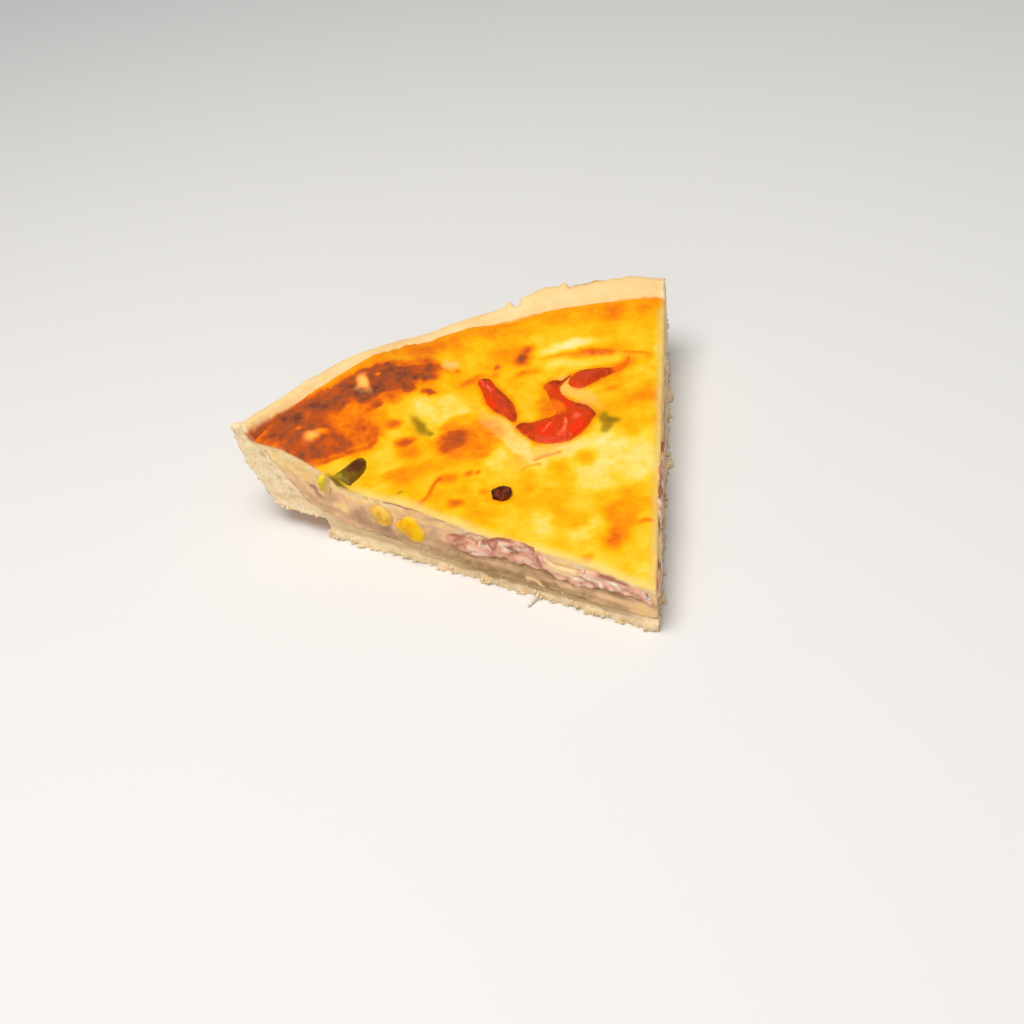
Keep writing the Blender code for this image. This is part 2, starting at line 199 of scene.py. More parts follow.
def blended(x, y, value, spots, firm=0.55):
    """Goes over a value at each place with spots, one after the other. They fade outwards from firm."""
    for middle_x, middle_y, half_x, half_y, turn, amount, strength in spots:
        c, s = math.cos(math.radians(turn)), math.sin(math.radians(turn))
        along = (x - middle_x) * c + (y - middle_y) * s
        aside = (y - middle_y) * c - (x - middle_x) * s
        weight = strength * (1 - smooth(firm, 1.7 - firm, np.hypot(along / half_x, aside / half_y)))
        value = value + (amount - value) * weight
    return value


def distance_to(x, y, path):
    """Distance of each place to a line through a few points."""
    nearest = np.full(len(x), 1e9)
    for (x0, y0), (x1, y1) in zip(path, path[1:]):
        length = math.hypot(x1 - x0, y1 - y0)
        share = np.clip(((x - x0) * (x1 - x0) + (y - y0) * (y1 - y0)) / length**2, 0, 1)
        nearest = np.minimum(nearest, np.hypot(x - x0 - share * (x1 - x0), y - y0 - share * (y1 - y0)))
    return nearest


def linear(colour):
    """A colour written as sRGB hex, as the linear numbers that a shader takes."""
    parts = [int(colour[i : i + 2], 16) / 255 for i in (1, 3, 5)]
    return (*(p / 12.92 if p <= 0.04045 else ((p + 0.055) / 1.055) ** 2.4 for p in parts), 1)


def add(tree, kind, inputs=None, stops=(), **settings):
    """Adds a node. inputs are numbers, or sockets to link, by name or place; stops are a ramp's colours."""
    made = tree.nodes.new(kind)
    for name, value in settings.items():
        setattr(made, name, value)
    for socket, value in (inputs or {}).items():
        if isinstance(value, bpy.types.NodeSocket):
            tree.links.new(value, made.inputs[socket])
        else:
            made.inputs[socket].default_value = value
    for i, (place, colour) in enumerate(stops):
        stop = made.color_ramp.elements[i] if i < 2 else made.color_ramp.elements.new(place)
        stop.position, stop.color = place, linear(colour)
    return made


def new_material(name):
    """A material with a bare shader. Returns it, its tree and its shader."""
    material = bpy.data.materials.new(name)
    material.use_nodes = True
    return material, material.node_tree, material.node_tree.nodes["Principled BSDF"]


crust = fine_copy("pastry_crust", "baked_shortcrust", PASTRY_GRID)
write(crust, flush(read(crust, "co")))
places = read(crust, "co")
normals = read(crust, "normal")
radius, angle = tart(places)
cut_depth = np.maximum(out_of(places, LEFT), out_of(places, RIGHT))
cut = smooth(-0.0014, -0.0003, cut_depth)
low = 1 - smooth(0.0010, 0.0036, places[:, 2])
dry_below = 0.0022 + 0.0010 * smooth(0.050, 0.090, radius) + 0.0008 * crags(places, (0.004, 0.004, 0.02), 9.0)
soaked_and_shade = smooth(-0.0006, 0.0010, places[:, 2] - dry_below) * (1 - smooth(0.100, 0.116, radius)) * cut
soaked_and_shade *= smooth(0.000, 0.012, radius)
edge = np.maximum(cut * (1 - 0.75 * soaked_and_shade), 0.6 * low * smooth(-0.004, -0.001, cut_depth))
lumps = 0.00025 * crags(places, 0.0070, 3.0) + 0.00010 * crags(places, 0.0020, 5.0)
broken = 0.00044 * crags(places, 0.0034, 11.0) + 0.00028 * crags(places, 0.0014, 17.0)
teeth = 0.0010 * crags(places, (0.0042, 0.0042, 0.0080), 23.0) + 0.0010 * crags(places, (0.0019, 0.0019, 0.0024), 29.0)
outer = smooth(0.3, 0.7, normals[:, 0] * np.sin(angle) + normals[:, 1] * np.cos(angle))
teeth = (0.0003 + np.maximum(teeth, -0.0006)) * np.maximum(low, 0.6 * outer) * smooth(-0.0025, -0.0008, cut_depth)
places = places + normals * (lumps + edge * broken)[:, None]
on_left = out_of(places, LEFT) > out_of(places, RIGHT)
teeth *= np.where(on_left, 1.0, 0.4 + 0.9 * smooth(0.1, 0.5, crags(places, 0.012, 27.0)))
for along, half, out in FLAKES:
    flake = out * (1 - smooth(0.1, 1.0, np.abs(radius - along) / half + 0.3 * crags(places, 0.0015, 25.0)))
    teeth += np.where(on_left, 0, flake * (1 - smooth(0.0016, 0.0034, places[:, 2])) * smooth(-0.0022, -0.0006, cut_depth))
places += np.where(on_left[:, None], np.array(outwards(LEFT)), np.array(outwards(RIGHT))) * teeth[:, None]

# On the wall's left cut, damp pores, and a painted shade line in the crevice where pastry meets custard: millimetres
# from the tip and up
PORES = [
    (127.0, 25.3, 1.6, 0.8, 40, 1.0, 0.9),
    (124.4, 22.5, 0.9, 1.0, 0, 0.8, 0.8),
    (122.6, 17.8, 1.0, 0.8, 0, 0.9, 0.8),
    (119.0, 14.8, 1.2, 0.8, 20, 0.9, 0.8),
    (116.5, 20.5, 0.8, 0.6, 0, 0.5, 0.8),
]
CREVICE_SHADE_LINE = [(124.5, 11.0), (118.1, 11.9), (114.2, 12.3), (110.5, 12.2), (106.0, 11.6), (102.4, 11.2), (98.1, 10.1)]

# The uneven top edge of the rim: angle and half width in degrees, and how far it stands up in millimetres
JAGS = [
    (11.2, 0.45, 1.3),
    (12.3, 0.60, -1.6),
    (13.4, 0.60, 0.9),
    (16.6, 0.9, 0.5),
    (19.3, 0.55, 1.1),
    (20.2, 0.50, -0.5),
    (23.6, 0.9, 0.5),
    (27.0, 0.5, -0.3),
    (-20.0, 1.5, 0.3),
    (-8.0, 1.0, 0.3),
]
crest = smooth(0.0245, 0.0280, places[:, 2]) * smooth(0.1305, 0.1335, radius)
for middle, half, rise in JAGS:
    places[:, 2] += crest * rise / 1000 * (1 - smooth(0.3, 1.0, np.abs(np.degrees(angle) - middle) / half))
KNOBS = [((-0.0742, 0.0444, 0.0338), 0.0026, 0.0016), ((-0.0738, 0.0470, 0.0300), 0.0020, 0.0007)]
for middle, reach, rise in KNOBS:
    gap = np.linalg.norm(places - np.array(middle), axis=1)
    places += normals * (rise * (1 - smooth(0.2, 1.0, gap / reach)))[:, None]
places[:, 2] = np.maximum(places[:, 2], 0)
write(crust, places)
paint(crust, "cut", cut)
soaked_and_shade = np.maximum(soaked_and_shade, 0.28 * low * (1 - smooth(0.100, 0.116, radius)))
along, height = radius * MM + 0.7 * crags(places, 0.0030, 33.0), places[:, 2] * MM + 0.4 * crags(places, 0.0020, 35.0)
# Dough colour in the damp pores, and painted shade along the crevice line
pores_and_shade_line = np.maximum(blended(along, height, np.zeros(len(along)), PORES, 0.3), 0.5 * (1 - smooth(0.3, 1.5, distance_to(along, height, CREVICE_SHADE_LINE))))
# The soaked mask also takes the painted shade of the crevice line
soaked_and_shade = np.maximum(soaked_and_shade, pores_and_shade_line * cut * on_left)
paint(crust, "soaked_and_shade", np.clip(soaked_and_shade, 0, 1))
# Darker towards the tip, partly soaked dough and partly painted shade; the crevice line adds its painted shade
wet_and_shade = 0.60 - 0.38 * smooth(0.050, 0.085, radius) + 0.24 * (1 - smooth(0.2, 1.2, np.abs(radius - 0.048) / 0.014))
wet_and_shade = wet_and_shade + (0.55 - wet_and_shade) * pores_and_shade_line
wet_and_shade += 0.22 * crags(places, (0.0140, 0.0140, 0.0008), 13.0) + 0.12 * crags(places, 0.005, 15.0)
paint(crust, "wet_and_shade", np.clip(wet_and_shade, 0, 1))

# Where the crest has caught the heat: place and half sizes in millimetres, turn, amount and strength
RIM_SPOTS = [(50.3, 124.7, 3.8, 1.3, -22, 1.0, 1.0), (54.2, 122.6, 2.4, 0.9, -24, 0.7, 0.8)]
under = 1 - smooth(-0.9, -0.6, normals[:, 2])
back = smooth(0.3, 0.8, normals[:, 0] * np.sin(angle) + normals[:, 1] * np.cos(angle)) * (1 - cut)
x_mm, y_mm = (places[:, 0] - TIP.x) * MM, (places[:, 1] - TIP.y) * MM
ragged = 0.8 * crags(places, 0.0020, 39.0)
spot = blended(x_mm + ragged, y_mm + ragged, np.zeros(len(x_mm)), RIM_SPOTS, 0.3) * smooth(0.022, 0.026, places[:, 2])
toast = 0.20 + 0.14 * crags(places, 0.014, 31.0) + 0.08 * crags(places, 0.004, 37.0)
toast += 0.34 * back + 0.40 * under * (1 - cut) + 0.70 * spot
paint(crust, "toast", np.clip(toast, 0, 1))

# Baked shortcrust: dry fat-bound crumb, so it is matt, warm cream and grainy, with a little light inside
pastry, tree, shader = new_material("baked_shortcrust")
spot_at = add(tree, "ShaderNodeTexCoord").outputs["Object"]
toasted = add(tree, "ShaderNodeAttribute", attribute_name="toast").outputs["Fac"]
is_cut = add(tree, "ShaderNodeAttribute", attribute_name="cut").outputs["Fac"]
is_soaked_and_shaded = add(tree, "ShaderNodeAttribute", attribute_name="soaked_and_shade").outputs["Fac"]
wet_and_shade_level = add(tree, "ShaderNodeAttribute", attribute_name="wet_and_shade").outputs["Fac"]
grain = add(tree, "ShaderNodeTexNoise", {"Vector": spot_at, "Scale": 900.0, "Detail": 4.0, "Roughness": 0.65})
flour = add(tree, "ShaderNodeTexNoise", {"Vector": spot_at, "Scale": 260.0, "Detail": 3.0, "Roughness": 0.6})
mottled = add(tree, "ShaderNodeMath", {0: flour.outputs["Fac"], 1: 0.30, 2: -0.15}, operation="MULTIPLY_ADD")
browned = add(tree, "ShaderNodeMath", {0: toasted, 1: mottled.outputs[0]}, operation="ADD", use_clamp=True)
skin = add(
    tree,
    "ShaderNodeValToRGB",
    {"Fac": browned.outputs[0]},
    stops=[(0.0, "#FFE4AC"), (1.0, "#8A4018"), (0.30, "#F9CE8A"), (0.58, "#E8B064"), (0.80, "#C27830")],
)
crumb = add(
    tree,
    "ShaderNodeValToRGB",
    {"Fac": grain.outputs["Fac"]},
    stops=[(0.24, "#E4BA88"), (0.62, "#FFECC6"), (0.42, "#FCDCA8")],
)
dough = add(
    tree,
    "ShaderNodeValToRGB",
    {"Fac": wet_and_shade_level},
    stops=[(0.0, "#E8CBA0"), (1.0, "#A08258"), (0.45, "#CDAE82"), (0.75, "#B4946A")],
)
torn = add(
    tree,
    "ShaderNodeMix",
    {0: is_soaked_and_shaded, 6: crumb.outputs["Color"], 7: dough.outputs["Color"]},
    data_type="RGBA",
)
colour = add(
    tree,
    "ShaderNodeMix",
    {0: is_cut, 6: skin.outputs["Color"], 7: torn.outputs[2]},
    data_type="RGBA",
)
dust = add(tree, "ShaderNodeBump", {"Height": flour.outputs["Fac"], "Strength": 0.35, "Distance": 0.0005})
rough = add(
    tree,
    "ShaderNodeBump",
    {"Height": grain.outputs["Fac"], "Strength": 0.35, "Distance": 0.0004, "Normal": dust.outputs["Normal"]},
)
tree.links.new(colour.outputs[2], shader.inputs["Base Color"])
tree.links.new(rough.outputs["Normal"], shader.inputs["Normal"])
shader.inputs["Roughness"].default_value = 0.78
shader.inputs["Specular IOR Level"].default_value = 0.3
shader.inputs["Subsurface Weight"].default_value = 0.12
shader.inputs["Subsurface Radius"].default_value = (0.0016, 0.0010, 0.0005)
shader.inputs["Subsurface Scale"].default_value = 1.0
crust.data.materials.append(pastry)

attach(crust, "root")
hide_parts("pastry_crust")

# Baked custard
# Eggs, cream and milk poured into the shell and set in the oven. The cuts are moist and pale, and the skin on
# top has gone from yellow to amber and, at the left corner, to a blistered red-brown. Places are given in
# millimetres from the tip, across and along the middle line of the slice.
CUSTARD_GRID = 0.00061
SKIN = 0.0011

# Browning from 0, pale cream, to 1, dark brown: place, half sizes, turn in degrees, amount and strength
BROAD_BROWNING = [
    (2, 12, 22, 12, 0, 0.28, 0.9),
    (-14, 38, 8, 7, 0, 0.20, 0.85),
    (-5, 35, 6, 5, 0, 0.44, 0.8),
    (-14, 28, 5, 6, 0, 0.34, 0.7),
    (-3, 27, 7, 4, 0, 0.16, 0.8),
    (11, 35, 8, 6, 0, 0.42, 0.8),
    (13, 31, 12, 6, 25, 0.40, 0.7),
    (17, 48, 20, 12, 8, 0.13, 0.95),
    (12, 61, 14, 4, 0, 0.06, 0.8),
    (-22, 44, 14, 9, 50, 0.38, 0.7),
    (-30, 62, 18, 20, 30, 0.42, 0.85),
    (-16, 64, 9, 8, 40, 0.30, 0.7),
    (-11, 70, 5, 9, 0, 0.18, 0.8),
    (-3, 54, 10, 6.5, -8, 0.44, 0.9),
    (1, 50.5, 5, 3, 0, 0.30, 0.8),
    (36, 72, 9, 14, -30, 0.48, 0.85),
    (45, 84, 6, 14, -33, 0.30, 0.7),
    (-44, 78, 13, 9, 0, 0.38, 0.8),
    (-37, 86, 7, 5, 0, 0.24, 0.8),
    (-40, 79, 4, 3, 0, 0.56, 0.7),
    (-28, 75, 4, 4, 0, 0.50, 0.7),
    (-47, 74, 5, 4, 0, 0.26, 0.7),
    (-34, 97, 9, 5, 0, 0.28, 0.8),
    (-15, 98, 11, 8, 0, 0.16, 0.85),
    (-3.5, 91, 2.6, 9, 0, 0.12, 0.6),
    (-2.5, 72, 3.4, 16, 0, 0.08, 0.9),
    (1, 98, 10, 16, 0, 0.34, 0.5),
    (11, 96, 7, 10, 0, 0.38, 0.8),
    (10.5, 85, 4, 6, 0, 0.20, 0.8),
    (-6, 108, 15, 6, 0, 0.44, 0.8),
    (50, 96, 14, 14, 20, 0.42, 0.8),
    (48.5, 111, 8, 7, -24, 0.52, 0.9),
    (56, 84, 4, 14, -33, 0.12, 0.8),
]
ORANGE_BAND = (0.112, 0.126, 0.50)
RIM_BAKE = 0.54
CORNER_BROWNING = [
    (-44, 101, 14, 11, 0, 0.68, 1.0),
    (-58, 101, 12, 12, 0, 0.81, 1.0),
    (-50, 113, 15, 8, 20, 0.83, 1.0),
    (-30, 115, 24, 8.5, 0, 0.83, 1.0),
    (-40, 105, 5, 4, 0, 0.63, 0.8),
    (-52, 95, 6.5, 4.4, -12, 0.82, 0.9),
    (-58, 95, 4.0, 3.0, 20, 0.86, 0.7),
    (-61, 109.5, 9, 5.5, 28, 0.93, 0.9),
    (-57, 104, 7.5, 3.6, 20, 0.87, 0.8),
    (-50, 98, 3.5, 2.4, 20, 0.84, 0.6),
    (-46, 114, 10, 4.4, -30, 0.89, 0.8),
    (-34, 110.5, 5.0, 3.0, 0, 0.94, 0.85),
    (-27, 116.5, 9, 6.0, -45, 0.91, 0.85),
    (-25.5, 111.5, 6.0, 3.2, -10, 0.93, 0.9),
    (-30, 121, 6, 3.0, 0, 0.86, 0.8),
    (-17, 115, 12, 4.8, -8, 0.90, 0.85),
    (-18, 113, 7, 1.6, -8, 0.97, 0.7),
    (-30, 107, 10, 3, 0, 0.66, 0.7),
    (-14, 119, 8, 2.0, -12, 0.66, 0.8),
    (-37.5, 117.5, 3.0, 4.0, 0, 0.88, 0.7),
    (-43.5, 122.5, 5.5, 2.6, 20, 0.50, 0.95),
    (-13.0, 81, 13, 9.6, 38, 0.60, 1.0),
    (-14.0, 90.5, 6.0, 3.5, 0, 0.53, 0.9),
    (-16, 76, 7, 5, 0, 0.58, 0.9),
    (13.6, 82, 3.4, 8.5, -8, 0.64, 0.9),
    (18, 107.5, 7, 4.5, 20, 0.60, 0.8),
    (8, 30, 8, 6, 30, 0.52, 0.7),
    (-42.5, 105.0, 4.5, 3.0, 0, 0.70, 0.8),
    (-32.5, 105.6, 2.6, 2.2, 0, 0.80, 0.8),
    (-20, 108.5, 3.8, 2.2, 10, 0.82, 0.8),
    (-26, 108.0, 3.0, 1.6, 0, 0.70, 0.7),
    (-16, 105.5, 2.4, 1.6, 0, 0.78, 0.7),
    (-33, 101.0, 3.0, 2.0, 0, 0.60, 0.7),
]
SMALL_BROWNING = [
    (-54, 85.6, 6.5, 4.0, 28, 0.26, 0.95),
    (-6.5, 124.3, 6, 4, 15, 0.68, 0.9),
    (-8, 84, 4.5, 2.4, 38, 0.57, 0.9),
    (-18.8, 82, 6.4, 5.6, 20, 0.83, 0.95),
    (-16.2, 84, 3.0, 2.8, 0, 0.88, 0.7),
    (-21.5, 80.5, 2.6, 2.4, 0, 0.86, 0.5),
    (-30.5, 90.5, 3.6, 2.4, 0, 0.86, 0.95),
    (-31.8, 85.8, 4.4, 4, 0, 0.61, 0.85),
    (-30.5, 98, 2.6, 2.2, 0, 0.72, 0.9),
    (-36, 76, 6, 4, 0, 0.60, 0.8),
    (-30, 57.5, 2.6, 2.2, 0, 0.74, 0.9),
    (-27.5, 68, 3.4, 2.0, -20, 0.66, 0.8),
    (-21.5, 67.1, 1.4, 1.1, 0, 0.76, 0.8),
    (-19.0, 65.7, 1.5, 1.1, 0, 0.78, 0.8),
    (-9.5, 52.5, 3.0, 2.2, 0, 0.56, 0.7),
    (-20.5, 58, 1.8, 1.4, 0, 0.66, 0.7),
    (-17.5, 54.5, 4.2, 3.6, 0, 0.62, 0.7),
    (11, 56, 3.0, 3.2, 0, 0.48, 0.9),
    (28, 57.5, 3.2, 3.0, 0, 0.47, 0.8),
    (33, 78, 3.0, 1.8, 0, 0.62, 0.7),
    (40, 68, 5, 3, -40, 0.60, 0.7),
    (1.8, 21.6, 7.4, 5.4, 30, 0.56, 0.9),
    (0.6, 20.8, 4.8, 3.3, 42, 0.65, 0.95),
    (-0.2, 20.6, 2.6, 1.8, 60, 0.70, 0.8),
    (9, 22.6, 2.4, 0.9, 0, 0.58, 0.7),
    (7.5, 25.5, 5, 2.8, 36, 0.58, 0.85),
    (11.6, 21.6, 2.6, 0.8, -24, 0.66, 0.9),
    (-10, 18.5, 3, 1.6, 20, 0.58, 0.8),
    (-26, 37, 2.4, 1.6, 0, 0.56, 0.6),
    (14, 110, 7, 4, 0, 0.56, 0.8),
    (18.3, 107.6, 5.2, 2.2, 36, 0.82, 0.9),
    (17.3, 107.2, 1.3, 1.1, 0, 0.94, 0.8),
    (16.5, 100.4, 7.0, 2.0, 0, 0.64, 0.7),
    (14.5, 100.8, 2.0, 1.0, 0, 0.74, 0.7),
    (-1.4, 105.7, 5, 1.4, 5, 0.70, 0.8),
    (8.5, 106.4, 1.2, 0.9, 0, 0.82, 0.8),
    (-3.6, 110.6, 1.2, 1.0, 0, 0.76, 0.7),
    (6.5, 104.2, 1.8, 1.4, 0, 0.64, 0.7),
    (33, 102.4, 11, 2.4, -20, 0.02, 0.95),
    (33, 99.9, 9, 1.2, -22, 0.40, 0.8),
    (27.5, 96.6, 9.5, 2.0, -30, 0.12, 0.8),
    (40.5, 90.5, 5.5, 1.6, -34, 0.14, 0.7),
    (35.5, 96.8, 8.5, 1.9, -28, 0.64, 0.9),
    (38.5, 95.2, 5.5, 1.3, -28, 0.74, 0.8),
    (48, 88, 5, 0.9, -42, 0.66, 0.8),
    (26.5, 101.2, 5, 0.8, -26, 0.62, 0.8),
    (12.4, 80.5, 3.8, 8.0, -10, 0.66, 0.95),
    (10.0, 86.0, 4.0, 5.0, 0, 0.42, 0.7),
    (42, 86.5, 6, 3.0, 8, 0.56, 0.8),
    (24, 95.0, 2.4, 1.4, 0, 0.5, 0.5),
]
CREAM_SPECKS = [
    (-55.2, 101.0, 2.3, 1.9, 0, 0.38, 0.9),
    (-51.6, 101.8, 2.0, 1.3, 0, 0.48, 0.8),
    (-31.8, 116.8, 1.8, 4.0, -8, 0.34, 1.0),
    (-26.5, 117.5, 0.9, 0.9, 0, 0.46, 0.8),
    (-4.2, 113.8, 2.4, 1.9, 0, 0.40, 0.9),
    (-2, 109.5, 1.4, 1.2, 0, 0.42, 0.7),
    (-57.5, 105.5, 1.2, 0.8, 0, 0.62, 0.8),
]
PEACH = [
    (-3.2, 80, 3.0, 11, 6, 1.0, 0.55),
    (2, 64, 10, 3.4, 0, 1.0, 0.5),
    (22, 88, 3, 5, 0, 1.0, 0.5),
    (24.5, 80, 3, 8, 0, 1.0, 0.4),
    (-31.8, 116.8, 2.0, 4.2, -8, 1.0, 0.7),
    (-55.2, 101.0, 2.4, 2.0, 0, 1.0, 0.5),
    (40, 60, 2, 26, -33, 1.0, 0.35),
    (-4, 113.8, 2.6, 1.8, 0, 1.0, 0.8),
]
GREENS = [
    (-24.2, 94.0, 2.2, 4.6, 5, 1.0, 0.8),
    (-22.8, 89.8, 1.6, 1.4, 0, 1.0, 0.7),
    (23.6, 66.0, 1.9, 3.6, -10, 1.0, 0.8),
    (25.4, 64.0, 2.6, 1.9, 10, 1.0, 0.8),
    (22.2, 62.2, 1.6, 1.6, 0, 1.0, 0.7),
    (-42.0, 69.5, 1.6, 1.0, 0, 1.0, 0.6),
]
HAM_EDGE = [(-41, 61.8), (-37.7, 62.3), (-35.2, 63.7), (-33.4, 65.6), (-31.4, 67.6), (-29.4, 68.6)]
CRACK = [(-1.8, 62.8), (1.6, 62.8), (5.8, 62.0)]
LOWER_CRACK = [(-6.6, 61.0), (-4.2, 61.2), (-1.6, 60.6)]
RIDGE = [(24.5, 102), (31, 98.3), (38, 95.2), (45, 90.2), (50, 86)]
PATCH_EDGE = [(-61, 90.4), (-56, 90.6), (-52, 91.0), (-46, 92.2), (-41, 92.2), (-38, 94.4)]


def surface_of(node):
    """A solid of the frame as something that rays can be cast at."""
    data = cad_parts[node].data
    return BVHTree.FromPolygons([v.co for v in data.vertices], [list(p.vertices) for p in data.polygons])


def level_over(piece, nodes, gap):
    """Levels a piece's top over the beds of the strips that lie in it: the skin is drawn taut across them."""
    places = read(piece, "co")
    bedded = np.zeros(len(places), dtype=bool)
    for node in nodes:
        spots = np.array([v.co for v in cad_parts[node].data.vertices])
        near = np.all((places > spots.min(axis=0) - gap) & (places < spots.max(axis=0) + gap), axis=1)
        solid = surface_of(node)
        for i in np.flatnonzero(near):
            bedded[i] |= solid.find_nearest(Vector(places[i]))[3] < gap
    pairs = edges_of(piece)
    pairs = pairs[bedded[pairs].any(axis=1)]
    count = np.bincount(pairs.ravel(), minlength=len(places))
    for _ in range(LEVELLING_STEPS):
        for axis in range(3):
            values = places[:, axis]
            total = np.bincount(pairs[:, 0], values[pairs[:, 1]], len(places))
            total += np.bincount(pairs[:, 1], values[pairs[:, 0]], len(places))
            values[bedded] = total[bedded] / count[bedded]
    write(piece, places)


LAID_IN = (
    "red_pepper_strip_left",
    "red_pepper_strip_right",
    "red_pepper_curl",
    "green_pepper_strip",
    "charred_pepper_bit",
)
LEVELLING_STEPS = 400
SWELL = 0.00045

filling = fine_copy("custard_filling", "baked_custard", CUSTARD_GRID)
level_over(filling, LAID_IN, 0.0010)
places = read(filling, "co")
normals = read(filling, "normal")
under_top = 1 - smooth(0.2, 0.6, normals[:, 2])
write(filling, flush(places + normals * (SWELL * under_top)[:, None]))
places = read(filling, "co")
normals = read(filling, "normal")
radius, angle = tart(places)
left_out, right_out = out_of(places, LEFT), out_of(places, RIGHT)
cut = smooth(-0.0016, -0.0004, np.maximum(left_out, right_out))

# How deep each point lies under the skin, looked up a little way in from the cuts
INWARD = 0.0016
solid = surface_of("custard_filling")
inside = places.copy()
for side, out in ((LEFT, left_out), (RIGHT, right_out)):
    inside -= np.outer(np.maximum(0, out + INWARD), np.array(outwards(side)))
skin_height = places[:, 2].copy()
for i, (x, y, z) in enumerate(inside):
    hit = solid.ray_cast(Vector((x, y, 0.1)), Vector((0, 0, -1)))[0]
    if hit is not None:
        skin_height[i] = hit.z
depth = np.clip(skin_height - places[:, 2], 0, None)
top = (1 - smooth(0.0004, 0.0012, depth)) * smooth(0.2, 0.6, normals[:, 2])

RIM_STEPS = 120
REACHES_INTO_WALL = 0.0010
REACHES_FURTHER = 0.0026
turns = np.linspace(-CUT_HALF_ANGLE, CUT_HALF_ANGLE, RIM_STEPS)
on_top = top > 0.5
slot_of = np.clip(np.searchsorted(turns, angle), 1, RIM_STEPS - 1)
widest = np.zeros(RIM_STEPS)
np.maximum.at(widest, slot_of[on_top], radius[on_top])
widest[0] = widest[1]
widest = np.convolve(np.pad(widest, 2, mode="edge"), np.ones(5) / 5, mode="valid")
from_rim = np.interp(angle, turns, widest) - radius
reaching = REACHES_INTO_WALL * (1 - smooth(0.0, 0.0024, from_rim)) * (depth < 0.0016)
reaching += REACHES_FURTHER * (1 - smooth(0.0, 0.0036, from_rim)) * (1 - smooth(0.0012, 0.0030, depth)) * (1 - cut)
places[:, 0] += reaching * np.sin(angle)
places[:, 1] += reaching * np.cos(angle)
write(filling, places)
rim_bake = RIM_BAKE + 0.24 * (1 - smooth(-0.44, -0.34, angle))

x_mm = (places[:, 0] - TIP.x) * MM
y_mm = (places[:, 1] - TIP.y) * MM
drift_x = 1.3 * crags(places, 0.0055, 2.0) + 0.6 * crags(places, 0.0020, 4.0)
drift_y = 1.3 * crags(places, 0.0055, 6.0) + 0.6 * crags(places, 0.0020, 8.0)
far_x, far_y = x_mm + 1.5 * drift_x, y_mm + 1.5 * drift_y
bake = 0.34 + 0.10 * crags(places, (0.016, 0.009, 0.02), 12.0)
bake = blended(far_x, far_y, bake, BROAD_BROWNING)
band_from, band_to, band_bake = ORANGE_BAND
band = smooth(band_from, band_to, radius)
bake = bake + (np.maximum(bake, band_bake + 0.06 * band) - bake) * band
bake = blended(far_x, far_y, bake, CORNER_BROWNING)
patchy = 0.16 * crags(places, 0.0070, 10.0) + 0.10 * crags(places, 0.0034, 14.0) + 0.05 * crags(places, 0.0015, 15.0)
swirled = places + 0.0011 * np.stack([crags(places, 0.0045, seed) for seed in (91.0, 93.0, 95.0)], axis=1)
streaky = 0.11 * crags(swirled, (0.0034, 0.0016, 0.0040), 97.0) + 0.07 * crags(swirled, 0.0014, 99.0)
in_patch = smooth(0.60, 0.72, bake)
bake = bake + patchy * (0.72 - 0.34 * in_patch) + 0.7 * streaky * in_patch
along_rim = (1 - smooth(0.0006, 0.0030, from_rim)) * top
bake = bake + (rim_bake - bake) * 0.85 * along_rim
bake = blended(x_mm + 0.7 * drift_x, y_mm + 0.7 * drift_y, bake, SMALL_BROWNING, 0.25)
bake = blended(x_mm + 0.5 * drift_x, y_mm + 0.5 * drift_y, bake, CREAM_SPECKS, 0.2)
ham_edge = distance_to(x_mm + 0.3 * drift_x, y_mm, HAM_EDGE)
crack = distance_to(x_mm, y_mm + 0.3 * drift_y, CRACK)
lower_crack = distance_to(x_mm, y_mm + 0.3 * drift_y, LOWER_CRACK)
ridge = distance_to(x_mm, y_mm + 0.3 * drift_y, RIDGE)
patch_edge = distance_to(x_mm + 0.3 * drift_x, y_mm + 0.3 * drift_y, PATCH_EDGE)
bake = bake + (0.75 - bake) * 0.75 * (1 - smooth(0.2, 0.9, ham_edge))
bake = bake + (0.80 - bake) * 0.8 * (1 - smooth(0.1, 1.0, crack + 0.5 * crags(places, 0.0025, 13.0)))
bake = bake + (0.66 - bake) * 0.7 * (1 - smooth(0.0, 0.8, lower_crack + 0.5 * crags(places, 0.0025, 13.0)))
bake = bake + (0.76 - bake) * 0.85 * (1 - smooth(0.3, 1.2, patch_edge))
paint(filling, "bake", np.clip(bake, 0, 1))
paint(filling, "peach", np.clip(blended(far_x, far_y, np.zeros(len(bake)), PEACH, 0.15), 0, 1))
greened = blended(x_mm + drift_x, y_mm + drift_y, np.zeros(len(bake)), GREENS, 0.3) * top

